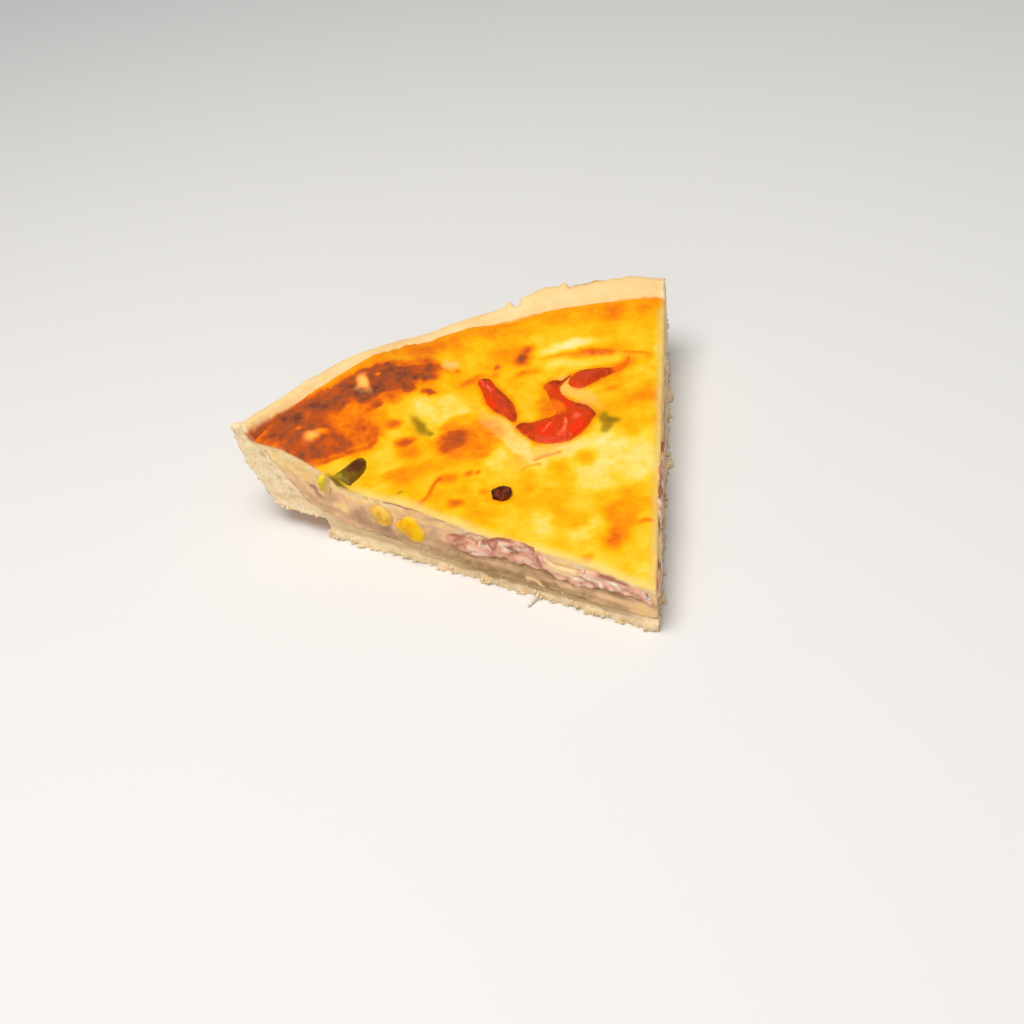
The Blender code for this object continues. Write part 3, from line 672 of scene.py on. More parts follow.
# The cuts: tone from 0, pale cream, to 1, khaki that is partly painted shade, and how mauve; places are millimetres
# from the tip and up
CUT_TONES = [
    (122, 24, 3.0, 6.0, 0, 0.20, 0.8),
    (113, 23, 9, 3.6, 20, 0.12, 0.9),
    (109, 13.4, 3.4, 1.6, 10, 0.52, 0.8),
    (91, 19.5, 9, 2.6, 0, 0.08, 0.9),
    (101, 12, 4, 2.2, 0, 0.20, 0.9),
    (94, 11, 4.5, 3.0, 0, 0.66, 0.8),
    (88, 8.6, 4.5, 2.2, 0, 0.60, 0.8),
    (82.5, 14.5, 2.0, 2.2, 0, 0.12, 0.9),
    (86, 8.0, 13, 3.0, 0, 0.60, 0.8),
    (70, 6.0, 10, 2.0, 0, 0.56, 0.7),
    (74, 18.5, 6, 2.6, 0, 0.30, 0.7),
    (67, 13.5, 5, 3.0, 0, 0.40, 0.8),
    (63, 19.6, 3, 1.6, 0, 0.50, 0.7),
    (55, 8, 7, 2.4, 0, 0.74, 0.8),
    (61, 5.6, 8, 1.4, 0, 0.84, 0.8),
    (46, 5.2, 15, 1.2, 0, 0.76, 0.8),
    (47, 8.2, 13, 1.6, 0, 0.44, 0.9),
    (34, 8.2, 8, 1.6, 0, 0.66, 0.8),
    (24, 5.2, 14, 1.0, 0, 0.74, 0.8),
    (22, 7.6, 12, 1.5, 0, 0.44, 0.9),
    (18, 4.9, 16, 0.9, 0, 0.60, 0.6),
    (43, 4.4, 5.0, 0.7, 0, 0.52, 0.8),
    (4, 6.2, 5.0, 3.6, 0, 0.26, 0.9),
    (12, 6.9, 8.0, 1.4, 0, 0.34, 0.8),
]
CUT_MAUVES = [
    (110.3, 18.1, 2.2, 1.0, 30, 1.0, 0.95),
    (108.4, 16.0, 2.0, 1.0, 30, 1.0, 0.95),
    (94, 11.5, 5, 3.4, 0, 0.6, 0.8),
    (88.5, 8.9, 5, 2.0, 0, 0.6, 0.8),
    (84, 7.0, 3, 1.4, 0, 0.5, 0.8),
    (65.4, 19.7, 3.2, 1.0, -10, 0.9, 0.9),
    (69, 18.4, 3.0, 1.0, 0, 0.6, 0.8),
    (61, 18.0, 2.5, 0.8, 0, 0.6, 0.8),
    (113, 14.5, 3, 0.8, 20, 0.5, 0.8),
]
MAUVE_LINE = [(84, 20.4), (80.8, 20.9), (77, 20.3), (73.5, 21.0), (70.5, 22.4)]
CUT_PINKS = [
    (47, 17, 13, 5, 0, 0.9, 0.9),
    (61, 15, 5, 3.5, 0, 0.7, 0.8),
    (34, 15, 5, 3, 0, 0.55, 0.8),
    (20, 13.6, 8, 2.6, 0, 0.6, 0.7),
    (70, 20, 7, 2.2, 0, 0.5, 0.8),
]
# How many times its usual depth the skin hangs down over the cut: place along the cut and up, as above
SKIN_HANGS = [(99, 22, 7, 4, 0, 3.2, 1.0), (88, 20, 8, 4, 0, 1.6, 0.8)]
CUT_GREENS = [(100.4, 22.6, 3.9, 1.6, 32, 1.0, 1.0)]
MAROON_LINES = [
    [(61.9, 13.3), (59.2, 14.6), (56.1, 17.6), (53.4, 17.8), (50.7, 16.4), (47.0, 17.9), (44.4, 17.6), (41.1, 18.4)],
    [(56.0, 15.4), (54.2, 13.6), (52.6, 15.6), (50.7, 14.3), (49.0, 12.6), (47.5, 14.6)],
    [(36.6, 17.4), (34.5, 16.5), (34.9, 13.9), (33.6, 11.3), (30.7, 9.8)],
    [(22.9, 13.0), (20.3, 12.6), (17.0, 10.6), (14.0, 11.4), (11.0, 9.2)],
]
PALE_ARC = [(39.8, 5.9), (37.9, 6.3), (36.3, 5.9), (35.0, 4.3), (33.2, 3.4)]
RIGHT_CUT_SHIFT = 9.0

inset = -np.maximum(left_out, right_out) + 0.0007 * crags(places, 0.0055, 18.0)
pale_edge = 0.9 * (1 - smooth(-0.0002, 0.0026, inset))
at_rim = np.where(left_out > right_out, smooth(0.088, 0.100, radius), smooth(0.118, 0.128, radius))
paint(filling, "edge", np.clip(pale_edge * (1 - at_rim), 0, 1))
along = radius * MM + RIGHT_CUT_SHIFT * (right_out > left_out)
height = places[:, 2] * MM
skin_deep = SKIN * blended(along, height, np.ones(len(along)), SKIN_HANGS, 0.5)
paint(filling, "under_skin", smooth(0.0001, skin_deep, depth) * np.maximum(cut, smooth(0.002, 0.003, depth)))
shifted = along + 1.2 * crags(places, 0.004, 42.0)
lifted = height + 0.6 * crags(places, 0.003, 44.0)
tip_side = 1 - smooth(0.050, 0.085, radius)
# Darker lower down and towards the tip: partly the custard's own khaki, partly painted shade
tone = 0.06 + 0.36 * smooth(0.0015, 0.0080, depth) + 0.34 * tip_side * smooth(0.0045, 0.0080, depth)
tone = blended(shifted, lifted, tone, CUT_TONES, 0.3)
tone += 0.12 * crags(places, (0.0060, 0.0060, 0.0022), 19.0) + 0.09 * crags(places, 0.0018, 21.0)
streaks = crags(places, (0.0160, 0.0160, 0.0009), 20.0)
tone += 0.10 * streaks * tip_side * smooth(0.004, 0.007, depth)
tone = tone + (0.02 - tone) * 0.9 * (1 - smooth(0.2, 0.7, distance_to(along, height, PALE_ARC)))
paint(filling, "tone", np.clip(tone, 0, 1))
greened += blended(along + 0.4 * drift_x, height + 0.3 * drift_y, np.zeros(len(tone)), CUT_GREENS, 0.3) * cut * (left_out > right_out)
paint(filling, "green", np.clip(greened, 0, 1))
pinks = blended(shifted, lifted, np.zeros(len(tone)), CUT_PINKS, 0.3) * (0.8 + 0.5 * crags(places, 0.0030, 52.0))
paint(filling, "pink", np.clip(pinks, 0, 1))
mauve_and_shade = blended(shifted, lifted, 0.30 * crags(places, 0.0040, 46.0) - 0.02, CUT_MAUVES, 0.3)
mauve_and_shade = np.maximum(mauve_and_shade, 1 - smooth(0.3, 1.0, distance_to(shifted, lifted, MAUVE_LINE)))
for line in MAROON_LINES:
    mauve_and_shade = np.maximum(mauve_and_shade, 0.65 * (1 - smooth(0.2, 0.9, distance_to(shifted, lifted, line))))
# Painted shade along the crevice where the custard meets the pastry
mauve_and_shade = np.maximum(mauve_and_shade, 0.45 * (1 - smooth(0.3, 1.4, distance_to(shifted, lifted, CREVICE_SHADE_LINE))))
paint(filling, "mauve_and_shade", np.clip(mauve_and_shade, 0, 1))

blistered = smooth(0.62, 0.85, bake)
off_wall = smooth(0.0, 0.0030, from_rim)
relief = top * (0.00012 * crags(places, 0.0050, 22.0) + 0.00007 * crags(places, 0.0020, 24.0))
relief += top * blistered * (0.00030 * crags(places, 0.0028, 26.0) + 0.00022 * crags(places, 0.0013, 28.0))
relief *= off_wall
relief += top * 0.00045 * (1 - smooth(0.2, 1.3, ham_edge))
relief -= top * 0.00035 * (1 - smooth(0.1, 0.9, crack))
relief += top * 0.00050 * (1 - smooth(0.2, 1.2, ridge))
crumbly = smooth(0.060, 0.085, radius)
torn = 0.00046 * crags(places, 0.0036, 33.0) + 0.00034 * crags(places, 0.0015, 35.0)
dragged = 0.00028 * crags(places, (0.006, 0.006, 0.0013), 39.0) + 0.00016 * crags(places, 0.0015, 36.0)
holes = -0.0006 * (1 - smooth(0.10, 0.30, pits(places, 0.0052, 0.3)))
relief += cut * smooth(0.0004, 0.0016, depth) * (crumbly * torn + (1 - 0.6 * crumbly) * dragged + holes * crumbly)
places = places + normals * relief[:, None]
rounded = 1 - smooth(0.0, 0.0026, -np.maximum(left_out, right_out))
places[:, 2] -= 0.0010 * rounded * (1 - smooth(0.0, 0.0030, depth)) * (1 - at_rim)
write(filling, places)

# The colours of the skin, from the palest cream to the darkest brown
SKIN_COLOURS = [
    (0.0, "#FFEBA0"),
    (1.0, "#743A2C"),
    (0.10, "#FFE078"),
    (0.22, "#FFD236"),
    (0.38, "#FFBC06"),
    (0.50, "#FDA400"),
    (0.61, "#F78604"),
    (0.71, "#E4680E"),
    (0.80, "#C2541C"),
    (0.90, "#9C4E28"),
]

# Baked custard: set egg and cream, so light goes a little way in; the skin is smooth and faintly oily, the
# cuts are moist and softly grainy
custard, tree, shader = new_material("baked_custard")
spot_at = add(tree, "ShaderNodeTexCoord").outputs["Object"]
baked = add(tree, "ShaderNodeAttribute", attribute_name="bake").outputs["Fac"]
peachy = add(tree, "ShaderNodeAttribute", attribute_name="peach").outputs["Fac"]
greenish = add(tree, "ShaderNodeAttribute", attribute_name="green").outputs["Fac"]
below_skin = add(tree, "ShaderNodeAttribute", attribute_name="under_skin").outputs["Fac"]
toned = add(tree, "ShaderNodeAttribute", attribute_name="tone").outputs["Fac"]
edged = add(tree, "ShaderNodeAttribute", attribute_name="edge").outputs["Fac"]
mauved_and_shaded = add(tree, "ShaderNodeAttribute", attribute_name="mauve_and_shade").outputs["Fac"]
specks = add(tree, "ShaderNodeTexNoise", {"Vector": spot_at, "Scale": 620.0, "Detail": 4.0, "Roughness": 0.6})
clouds = add(tree, "ShaderNodeTexNoise", {"Vector": spot_at, "Scale": 170.0, "Detail": 3.0, "Roughness": 0.6})
fine = add(tree, "ShaderNodeMath", {0: specks.outputs["Fac"], 1: 0.16, 2: -0.08}, operation="MULTIPLY_ADD")
soft = add(tree, "ShaderNodeMath", {0: clouds.outputs["Fac"], 1: 0.24, 2: fine.outputs[0]}, operation="MULTIPLY_ADD")
uneven = add(tree, "ShaderNodeMath", {0: soft.outputs[0], 1: -0.12}, operation="ADD")
blistering = add(tree, "ShaderNodeMapRange", {"Value": baked, "From Min": 0.62, "From Max": 0.74, "To Min": 1.0, "To Max": 1.5})
grainy = add(tree, "ShaderNodeMath", {0: uneven.outputs[0], 1: blistering.outputs[0]}, operation="MULTIPLY")
browned = add(tree, "ShaderNodeMath", {0: baked, 1: grainy.outputs[0]}, operation="ADD", use_clamp=True)
skin = add(tree, "ShaderNodeValToRGB", {"Fac": browned.outputs[0]}, stops=SKIN_COLOURS)
with_peach = add(
    tree,
    "ShaderNodeMix",
    {0: peachy, 6: skin.outputs["Color"], 7: linear("#FFC878")},
    data_type="RGBA",
)
pale_skin = add(
    tree,
    "ShaderNodeMix",
    {0: edged, 6: with_peach.outputs[2], 7: linear("#FFD884")},
    data_type="RGBA",
)
mottled = add(tree, "ShaderNodeMath", {0: uneven.outputs[0], 1: 1.8}, operation="MULTIPLY")
flesh_tone = add(tree, "ShaderNodeMath", {0: toned, 1: mottled.outputs[0]}, operation="ADD", use_clamp=True)
flesh = add(
    tree,
    "ShaderNodeValToRGB",
    {"Fac": flesh_tone.outputs[0]},
    stops=[
        (0.0, "#FFE6B4"),
        (1.0, "#88683E"),
        (0.18, "#FFD38C"),
        (0.38, "#F8C898"),
        (0.58, "#D6AE84"),
        (0.80, "#B08C60"),
    ],
)
pinkish = add(tree, "ShaderNodeAttribute", attribute_name="pink").outputs["Fac"]
rosy = add(
    tree,
    "ShaderNodeMix",
    {0: pinkish, 6: flesh.outputs["Color"], 7: linear("#F6BCA0")},
    data_type="RGBA",
)
bruised = add(
    tree,
    "ShaderNodeMix",
    {0: mauved_and_shaded, 6: rosy.outputs[2], 7: linear("#AE8070")},
    data_type="RGBA",
)
cut_or_skin = add(
    tree,
    "ShaderNodeMix",
    {0: below_skin, 6: pale_skin.outputs[2], 7: bruised.outputs[2]},
    data_type="RGBA",
)
colour = add(
    tree,
    "ShaderNodeMix",
    {0: greenish, 6: cut_or_skin.outputs[2], 7: linear("#80660E")},
    data_type="RGBA",
)
soft_bump = add(tree, "ShaderNodeBump", {"Height": clouds.outputs["Fac"], "Strength": 0.35, "Distance": 0.0007})
crumbling = add(tree, "ShaderNodeMath", {0: below_skin, 1: 0.6, 2: 0.3}, operation="MULTIPLY_ADD")
fine_bump = add(
    tree,
    "ShaderNodeBump",
    {
        "Height": specks.outputs["Fac"],
        "Strength": crumbling.outputs[0],
        "Distance": 0.0004,
        "Normal": soft_bump.outputs["Normal"],
    },
)
gloss = add(tree, "ShaderNodeMath", {0: clouds.outputs["Fac"], 1: 0.30, 2: 0.34}, operation="MULTIPLY_ADD")
tree.links.new(colour.outputs[2], shader.inputs["Base Color"])
tree.links.new(fine_bump.outputs["Normal"], shader.inputs["Normal"])
tree.links.new(gloss.outputs[0], shader.inputs["Roughness"])
shader.inputs["Specular IOR Level"].default_value = 0.08
shader.inputs["Subsurface Weight"].default_value = 0.15
shader.inputs["Subsurface Radius"].default_value = (0.0030, 0.0018, 0.0006)
shader.inputs["Subsurface Scale"].default_value = 1.0
filling.data.materials.append(custard)

# The skin has baked on to the wall of the shell as a thin film, higher at the left: angle and radius of its edge
FILM_EDGE = [
    (-33.3, 131.0), (-29, 130.8), (-26.8, 130.2), (-24.4, 129.5), (-21.2, 129.0), (-18.3, 128.8), (-16.4, 129.3),
    (-13, 129.7), (-9, 129.6), (-4, 129.8), (0, 130.0), (4.5, 128.6), (9, 127.4), (12, 127.0), (15, 125.9),
    (18, 125.6), (23, 125.5), (28, 125.7), (33.3, 126.0),
]
# Where it hangs over the left cut: place along the cut and up
FILM_HANG = [(130.8, 31.8), (128.8, 30.2)]
places = read(crust, "co")
radius, angle = tart(places)
film_edge = np.interp(np.degrees(angle), *zip(*FILM_EDGE)) / MM
film_edge += 0.0005 * crags(places, 0.0060, 16.0) + 0.0003 * crags(places, 0.0020, 17.0)
by_patch = 1 - smooth(-0.44, -0.36, angle)
fading = 1 - smooth(-0.36, -0.20, angle)
on_film = 1 - smooth(-0.0003 - 0.0010 * fading, 0.0004 + 0.0002 * fading, radius - film_edge)
on_film *= smooth(0.110, 0.112, radius) * smooth(0.018, 0.020, places[:, 2])
facing = read(crust, "normal") @ np.stack([outwards(LEFT), outwards(RIGHT)], axis=1)
on_film *= 1 - smooth(0.30, 0.60, np.where(angle < 0, facing[:, 0], facing[:, 1]))
along, height = radius * MM, places[:, 2] * MM
hanging = 0.85 * (1 - smooth(0.5, 1.7, distance_to(along, height, FILM_HANG))) * (1 - smooth(-0.568, -0.54, angle))
on_film = np.maximum(on_film, hanging)
film_bake = RIM_BAKE + 0.10 * crags(places, 0.0060, 18.0) + 0.08 * crags(places, 0.0018, 19.0)
film_bake += by_patch * 0.28 * smooth(-0.0004, 0.0008, film_edge - radius) - 0.12 * fading * (1 - by_patch)
paint(crust, "film", on_film)
paint(crust, "film_bake", film_bake)
tree, shader = pastry.node_tree, pastry.node_tree.nodes["Principled BSDF"]
filmed = add(tree, "ShaderNodeAttribute", attribute_name="film").outputs["Fac"]
film_baked = add(tree, "ShaderNodeAttribute", attribute_name="film_bake").outputs["Fac"]
film = add(tree, "ShaderNodeValToRGB", {"Fac": film_baked}, stops=SKIN_COLOURS)
colour = add(
    tree,
    "ShaderNodeMix",
    {0: filmed, 6: shader.inputs["Base Color"].links[0].from_socket, 7: film.outputs["Color"]},
    data_type="RGBA",
)
tree.links.new(colour.outputs[2], shader.inputs["Base Color"])

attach(filling, "root")
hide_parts("custard_filling")

# Ham
# Thin slices of cooked ham, folded loosely and laid on the first of the custard. Both cuts go through the
# folds, so they show as wavy pink layers with darker lines between them.
HAM_GRID = 0.00036
FILLS_BED = 0.00042

# Where custard has run over the ham's cut edge, its deeper folds, and its pale fat and painted highlights: as the
# custard's cut tones
HAM_COVERED = [(27.6, 13.4, 6.0, 2.6, 0, 1.0, 1.0), (62, 18.5, 5, 1.6, 0, 0.8, 0.8)]
HAM_HIGH = (0.0435, 0.0120, 0.0026)
HAM_TOP = 0.0178
HAM_TO_TIP = 0.0018
HAM_PALE = [
    (16.5, 11.6, 1.6, 1.4, 0, 1.0, 0.9),
    (12.5, 10.8, 1.4, 1.3, 0, 1.0, 0.9),
    (8.5, 10.4, 2.8, 2.4, 0, 0.54, 0.9),
    (19.6, 11.3, 3.2, 1.8, 0, 0.58, 0.8),
    (45, 15, 2.2, 2.0, 0, 0.9, 0.8),
    (48, 13.4, 1.6, 1.4, 0, 0.2, 0.8),
    (38, 15.6, 2.0, 1.6, 0, 0.9, 0.8),
    (52, 14, 2.0, 1.6, 0, 0.9, 0.8),
    (56, 12, 2.0, 1.2, 0, 0.9, 0.8),
]

ham = fine_copy("ham_layer", "folded_ham", HAM_GRID)
places = read(ham, "co")
normals = read(ham, "normal")
radius, angle = tart(places)
left_out, right_out = out_of(places, LEFT), out_of(places, RIGHT)
cut = smooth(-0.0012, -0.0002, np.maximum(left_out, right_out))
solid = surface_of("ham_layer")
bottom_gap, top_gap = np.full(len(places), 0.01), np.full(len(places), 0.01)
for side, out in ((LEFT, left_out), (RIGHT, right_out)):
    for i in np.flatnonzero(out > -0.0014):
        start = Vector(places[i]) - outwards(side) * (out[i] + INWARD)
        below = solid.ray_cast(Vector((start.x, start.y, 0)), Vector((0, 0, 1)))[0]
        above_it = solid.ray_cast(Vector((start.x, start.y, 0.05)), Vector((0, 0, -1)))[0]
        if below is not None:
            bottom_gap[i] = places[i, 2] - below.z
            top_gap[i] = above_it.z - places[i, 2]
along = radius * MM + RIGHT_CUT_SHIFT * (right_out > left_out)
height = places[:, 2] * MM
warped = places + 0.0007 * np.stack([crags(places, 0.004, seed) for seed in (41.0, 43.0, 45.0)], axis=1)
folds = np.abs(crags(warped, (0.0062, 0.0062, 0.0020), 47.0))
fine_folds = np.abs(crags(warped, (0.0030, 0.0030, 0.0011), 49.0))
seam = np.maximum(1 - smooth(0.0, 0.11, folds), 0.6 * (1 - smooth(0.0, 0.12, fine_folds)))
seam *= smooth(-0.5, 0.3, crags(places, 0.0050, 46.0))
lower_line = (1 - smooth(0.0002, 0.0007, bottom_gap)) * smooth(-0.3, 0.3, crags(places, 0.005, 48.0))
upper_line = (1 - smooth(0.0002, 0.0009, top_gap)) * smooth(-0.3, 0.2, crags(places, 0.006, 50.0))
seam = np.clip(np.maximum(np.maximum(seam, lower_line), upper_line), 0, 1)
for line in MAROON_LINES:
    wavy = distance_to(along + 0.6 * crags(places, 0.0024, 42.0), height, line)
    seam = np.maximum(seam, 0.8 * (1 - smooth(0.15, 0.7, wavy)))
covered = np.clip(blended(along, height, np.zeros(len(along)), HAM_COVERED), 0, 1)
high_middle, high_reach, high_rise = HAM_HIGH
share = bottom_gap / np.maximum(bottom_gap + top_gap, 0.001) * (bottom_gap < 0.01)
lifted = high_rise * (1 - smooth(0.3, 1.2, np.abs(radius - high_middle) / high_reach)) * np.clip(share, 0, 1)
places[:, 2] += lifted * cut
places[:, 2] -= 0.75 * np.maximum(0, places[:, 2] - HAM_TOP)
to_tip = HAM_TO_TIP * (1 - smooth(0.004, 0.011, radius)) * cut
places[:, 0] -= to_tip * np.sin(angle)
places[:, 1] -= to_tip * np.cos(angle)
# Pale fat and painted highlights on the ham's cut
fat_and_highlight = blended(along, height, 0.38 + 0.16 * (1 - smooth(0.015, 0.030, radius)) + 0.9 * crags(places, (0.0045, 0.0045, 0.0018), 51.0), HAM_PALE)
bulge = 0.00040 * smooth(0.05, 0.45, folds) + 0.00026 * smooth(0.05, 0.4, fine_folds) - 0.00040
bulge += 0.00022 * crags(places, 0.0014, 53.0)
write(ham, places + normals * (FILLS_BED + cut * bulge * (1 - 0.6 * covered))[:, None])
paint(ham, "seam", seam)
paint(ham, "fat_and_highlight", np.clip(fat_and_highlight, 0, 1))
paint(ham, "covered", covered)

# Cooked ham: cured pink meat with pale fat and painted highlights, moist and a little translucent
cooked_ham, tree, shader = new_material("cooked_ham")
spot_at = add(tree, "ShaderNodeTexCoord").outputs["Object"]
seamed = add(tree, "ShaderNodeAttribute", attribute_name="seam").outputs["Fac"]
coated = add(tree, "ShaderNodeAttribute", attribute_name="covered").outputs["Fac"]
fat_and_highlight_level = add(tree, "ShaderNodeAttribute", attribute_name="fat_and_highlight").outputs["Fac"]
fibres = add(tree, "ShaderNodeTexNoise", {"Vector": spot_at, "Scale": 700.0, "Detail": 3.0})
meat = add(
    tree,
    "ShaderNodeValToRGB",
    {"Fac": fat_and_highlight_level},
    stops=[(0.10, "#E2A186"), (0.95, "#FFF0DE"), (0.50, "#F6BC9E"), (0.75, "#FED6BA")],
)
folded = add(
    tree,
    "ShaderNodeMix",
    {0: seamed, 6: meat.outputs["Color"], 7: linear("#A8684E")},
    data_type="RGBA",
)
colour = add(
    tree,
    "ShaderNodeMix",
    {0: coated, 6: folded.outputs[2], 7: linear("#FBD6A0")},
    data_type="RGBA",
)
bump = add(tree, "ShaderNodeBump", {"Height": fibres.outputs["Fac"], "Strength": 0.4, "Distance": 0.0003})
tree.links.new(colour.outputs[2], shader.inputs["Base Color"])
tree.links.new(bump.outputs["Normal"], shader.inputs["Normal"])
shader.inputs["Roughness"].default_value = 0.48
shader.inputs["Specular IOR Level"].default_value = 0.3
shader.inputs["Subsurface Weight"].default_value = 0.2
shader.inputs["Subsurface Radius"].default_value = (0.0020, 0.0012, 0.0008)
shader.inputs["Subsurface Scale"].default_value = 1.0
ham.data.materials.append(cooked_ham)

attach(ham, "root")
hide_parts("ham_layer")

# Red pepper
# Strips of sweet red pepper, laid on top and roasted as the custard set: the skin has wrinkled and darkened,
# and where it has split the wet red flesh shows.
PEPPER_GRID = 0.30
PEPPER_SLAB = 0.0014
STAIN = 0.58
# Outlines as seen from above, in millimetres from the slice's tip
RED_OUTLINES = {
    "red_pepper_strip_left": [
        (0.4, 105.0), (2.4, 105.4), (4.3, 104.5), (5.0, 102.9), (4.8, 100.2), (5.4, 97.5), (5.9, 93.8), (5.8, 90.5),
        (4.7, 86.4), (3.7, 83.5), (2.2, 81.3), (0.6, 80.9), (0.2, 83.4), (-0.2, 86.2), (-1.4, 88.7), (-1.9, 91.6),
        (-1.8, 94.9), (-1.0, 98.4), (-0.3, 101.7), (-0.2, 103.7),
    ],
    "red_pepper_strip_right": [
        (23.1, 88.5), (24.9, 90.5), (27.1, 91.5), (29.2, 91.8), (31.4, 91.3), (33.8, 90.4), (36.1, 89.4), (38.0, 88.0),
        (40.5, 87.3), (42.8, 87.6), (44.9, 88.3), (45.9, 87.9), (44.6, 86.2), (42.5, 84.9), (40.2, 84.4), (37.4, 84.4),
        (34.5, 84.2), (31.6, 83.9), (29.2, 83.4), (26.6, 83.1), (24.5, 83.9), (23.2, 85.9),
    ],
    "red_pepper_curl": [
        (0.2, 79.4), (2.0, 80.4), (3.5, 79.7), (5.4, 78.3), (7.6, 78.0), (9.6, 78.0), (11.4, 77.4), (12.9, 77.6),
        (13.8, 79.0), (14.0, 81.0), (14.4, 83.4), (15.2, 86.0), (15.8, 88.4), (16.2, 90.0), (16.3, 91.8),
        (17.2, 93.0), (19.2, 93.6), (20.8, 93.4), (22.0, 92.6), (22.9, 91.3), (24.6, 91.5), (26.6, 91.9), (26.5, 90.7),
        (24.5, 89.9), (22.8, 89.3), (21.4, 88.6), (20.4, 87.3), (19.9, 85.3), (20.0, 81.8), (20.8, 78.8), (22.0, 77.0),
        (22.9, 75.2), (23.2, 72.9), (23.2, 71.1), (22.8, 69.1), (21.3, 68.3), (20.2, 67.6), (19.0, 66.6), (17.0, 65.6),
        (14.5, 64.9), (12.1, 64.5), (10.1, 64.5), (8.1, 65.0), (5.9, 66.0), (4.0, 67.2), (2.4, 68.8), (1.3, 70.8),
        (0.7, 73.2), (0.1, 75.8), (-0.1, 77.6),
    ],
}
# Tone from 0, dark skin, to 1, pale pink membrane and painted highlight, and how crimson: as the custard's browning
RED_TONES = [
    (3.4, 104, 2.4, 1.8, -10, 0.12, 0.9),
    (1.5, 102.5, 0.7, 1.6, 0, 0.86, 0.9),
    (1.8, 98.8, 0.7, 2.4, -6, 0.92, 0.8),
    (2.9, 98.0, 0.4, 1.4, -6, 0.84, 0.7),
    (0.9, 101.0, 0.4, 0.9, 0, 0.88, 0.7),
    (3.4, 101.5, 0.8, 1.4, 0, 0.74, 0.6),
    (-0.6, 94, 0.9, 3.6, 0, 0.66, 0.8),
    (4.8, 95, 1.3, 5.0, 0, 0.26, 0.85),
    (2.2, 91.5, 1.8, 4.0, 0, 0.52, 0.7),
    (1.6, 88, 0.5, 2.0, 20, 0.80, 0.6),
    (-1.2, 90, 0.8, 2.4, 20, 0.14, 0.8),
    (2.2, 83.4, 1.6, 2.2, 0, 0.34, 0.8),
    (1.4, 84.5, 0.5, 1.2, 0, 0.70, 0.6),
    (25.2, 87.2, 2.4, 2.6, 0, 0.50, 0.8),
    (29.8, 87.4, 2.6, 2.2, -8, 0.60, 0.7),
    (29.6, 87.8, 1.0, 0.8, 0, 0.76, 0.5),
    (32.5, 90.4, 5.0, 1.0, -16, 0.12, 0.85),
    (34.6, 85.6, 4.0, 1.6, -4, 0.28, 0.8),
    (34.2, 88.0, 3.0, 0.8, -14, 0.52, 0.6),
    (21.0, 91.6, 3.0, 2.2, 0, 0.14, 0.85),
    (25.0, 91.0, 2.6, 1.0, 0, 0.10, 0.9),
    (18.0, 91.6, 1.0, 2.0, 0, 0.42, 0.7),
    (18.2, 84.2, 1.2, 4.4, 4, 0.64, 0.9),
    (17.8, 78.8, 1.6, 3.0, 0, 0.64, 0.8),
    (20.8, 77.6, 1.3, 3.4, -14, 0.22, 0.85),
    (21.6, 73.2, 1.6, 2.6, 0, 0.42, 0.85),
    (22.7, 70.0, 1.0, 2.0, 0, 0.12, 0.85),
    (17.3, 71.6, 2.2, 2.0, 30, 0.86, 0.9),
    (15.0, 67.8, 3.4, 2.2, 20, 0.72, 0.9),
    (12.3, 72.2, 1.3, 2.2, 0, 0.44, 0.8),
    (12.6, 70.6, 0.8, 3.6, -38, 0.96, 0.9),
    (10.0, 67.8, 2.0, 1.4, 10, 0.94, 0.8),
    (7.0, 71.8, 3.4, 3.0, 0, 0.68, 0.8),
    (8.0, 72.8, 0.6, 3.8, -60, 0.92, 0.85),
    (6.2, 66.8, 3.0, 1.0, -24, 0.60, 0.8),
    (2.8, 76.0, 2.6, 2.6, 0, 0.28, 0.85),
    (1.2, 78.4, 1.6, 1.6, 0, 0.14, 0.7),
    (1.4, 71.6, 0.9, 2.0, 20, 0.20, 0.7),
    (9.0, 77.2, 5.0, 0.8, -6, 0.24, 0.8),
]
RED_CRIMSON = [
    (1.9, 100, 1.5, 4.0, -6, 0.9, 0.8),
    (2.3, 90.5, 2.2, 4.4, 0, 0.8, 0.8),
    (1.8, 84.5, 1.4, 2.4, 0, 0.7, 0.8),
    (30, 87.4, 4.0, 2.6, -8, 0.9, 0.85),
    (34.8, 88.0, 3.0, 1.6, -14, 0.5, 0.8),
    (21.2, 73.4, 2.0, 2.8, 0, 0.6, 0.8),
    (17.3, 71.6, 2.4, 2.4, 0, 0.5, 0.8),
    (10.0, 68.0, 2.2, 1.6, 0, 0.6, 0.8),
]
RED_ORANGE = [
    (42, 86.2, 5.0, 2.6, 10, 1.0, 0.9),
    (14.8, 80.5, 2.0, 5.4, 6, 0.9, 0.9),
    (13.5, 76.8, 2.4, 1.6, 0, 0.7, 0.8),
    (17.0, 90.8, 1.4, 2.4, 0, 0.45, 0.7),
]


def within(x, y, outline):
    """Whether each place lies inside a closed outline."""
    inside = np.zeros(len(x), dtype=bool)
    for (x0, y0), (x1, y1) in zip(outline, outline[1:] + outline[:1]):
        if y0 != y1:
            inside ^= ((y0 > y) != (y1 > y)) & (x < x0 + (y - y0) / (y1 - y0) * (x1 - x0))
    return inside


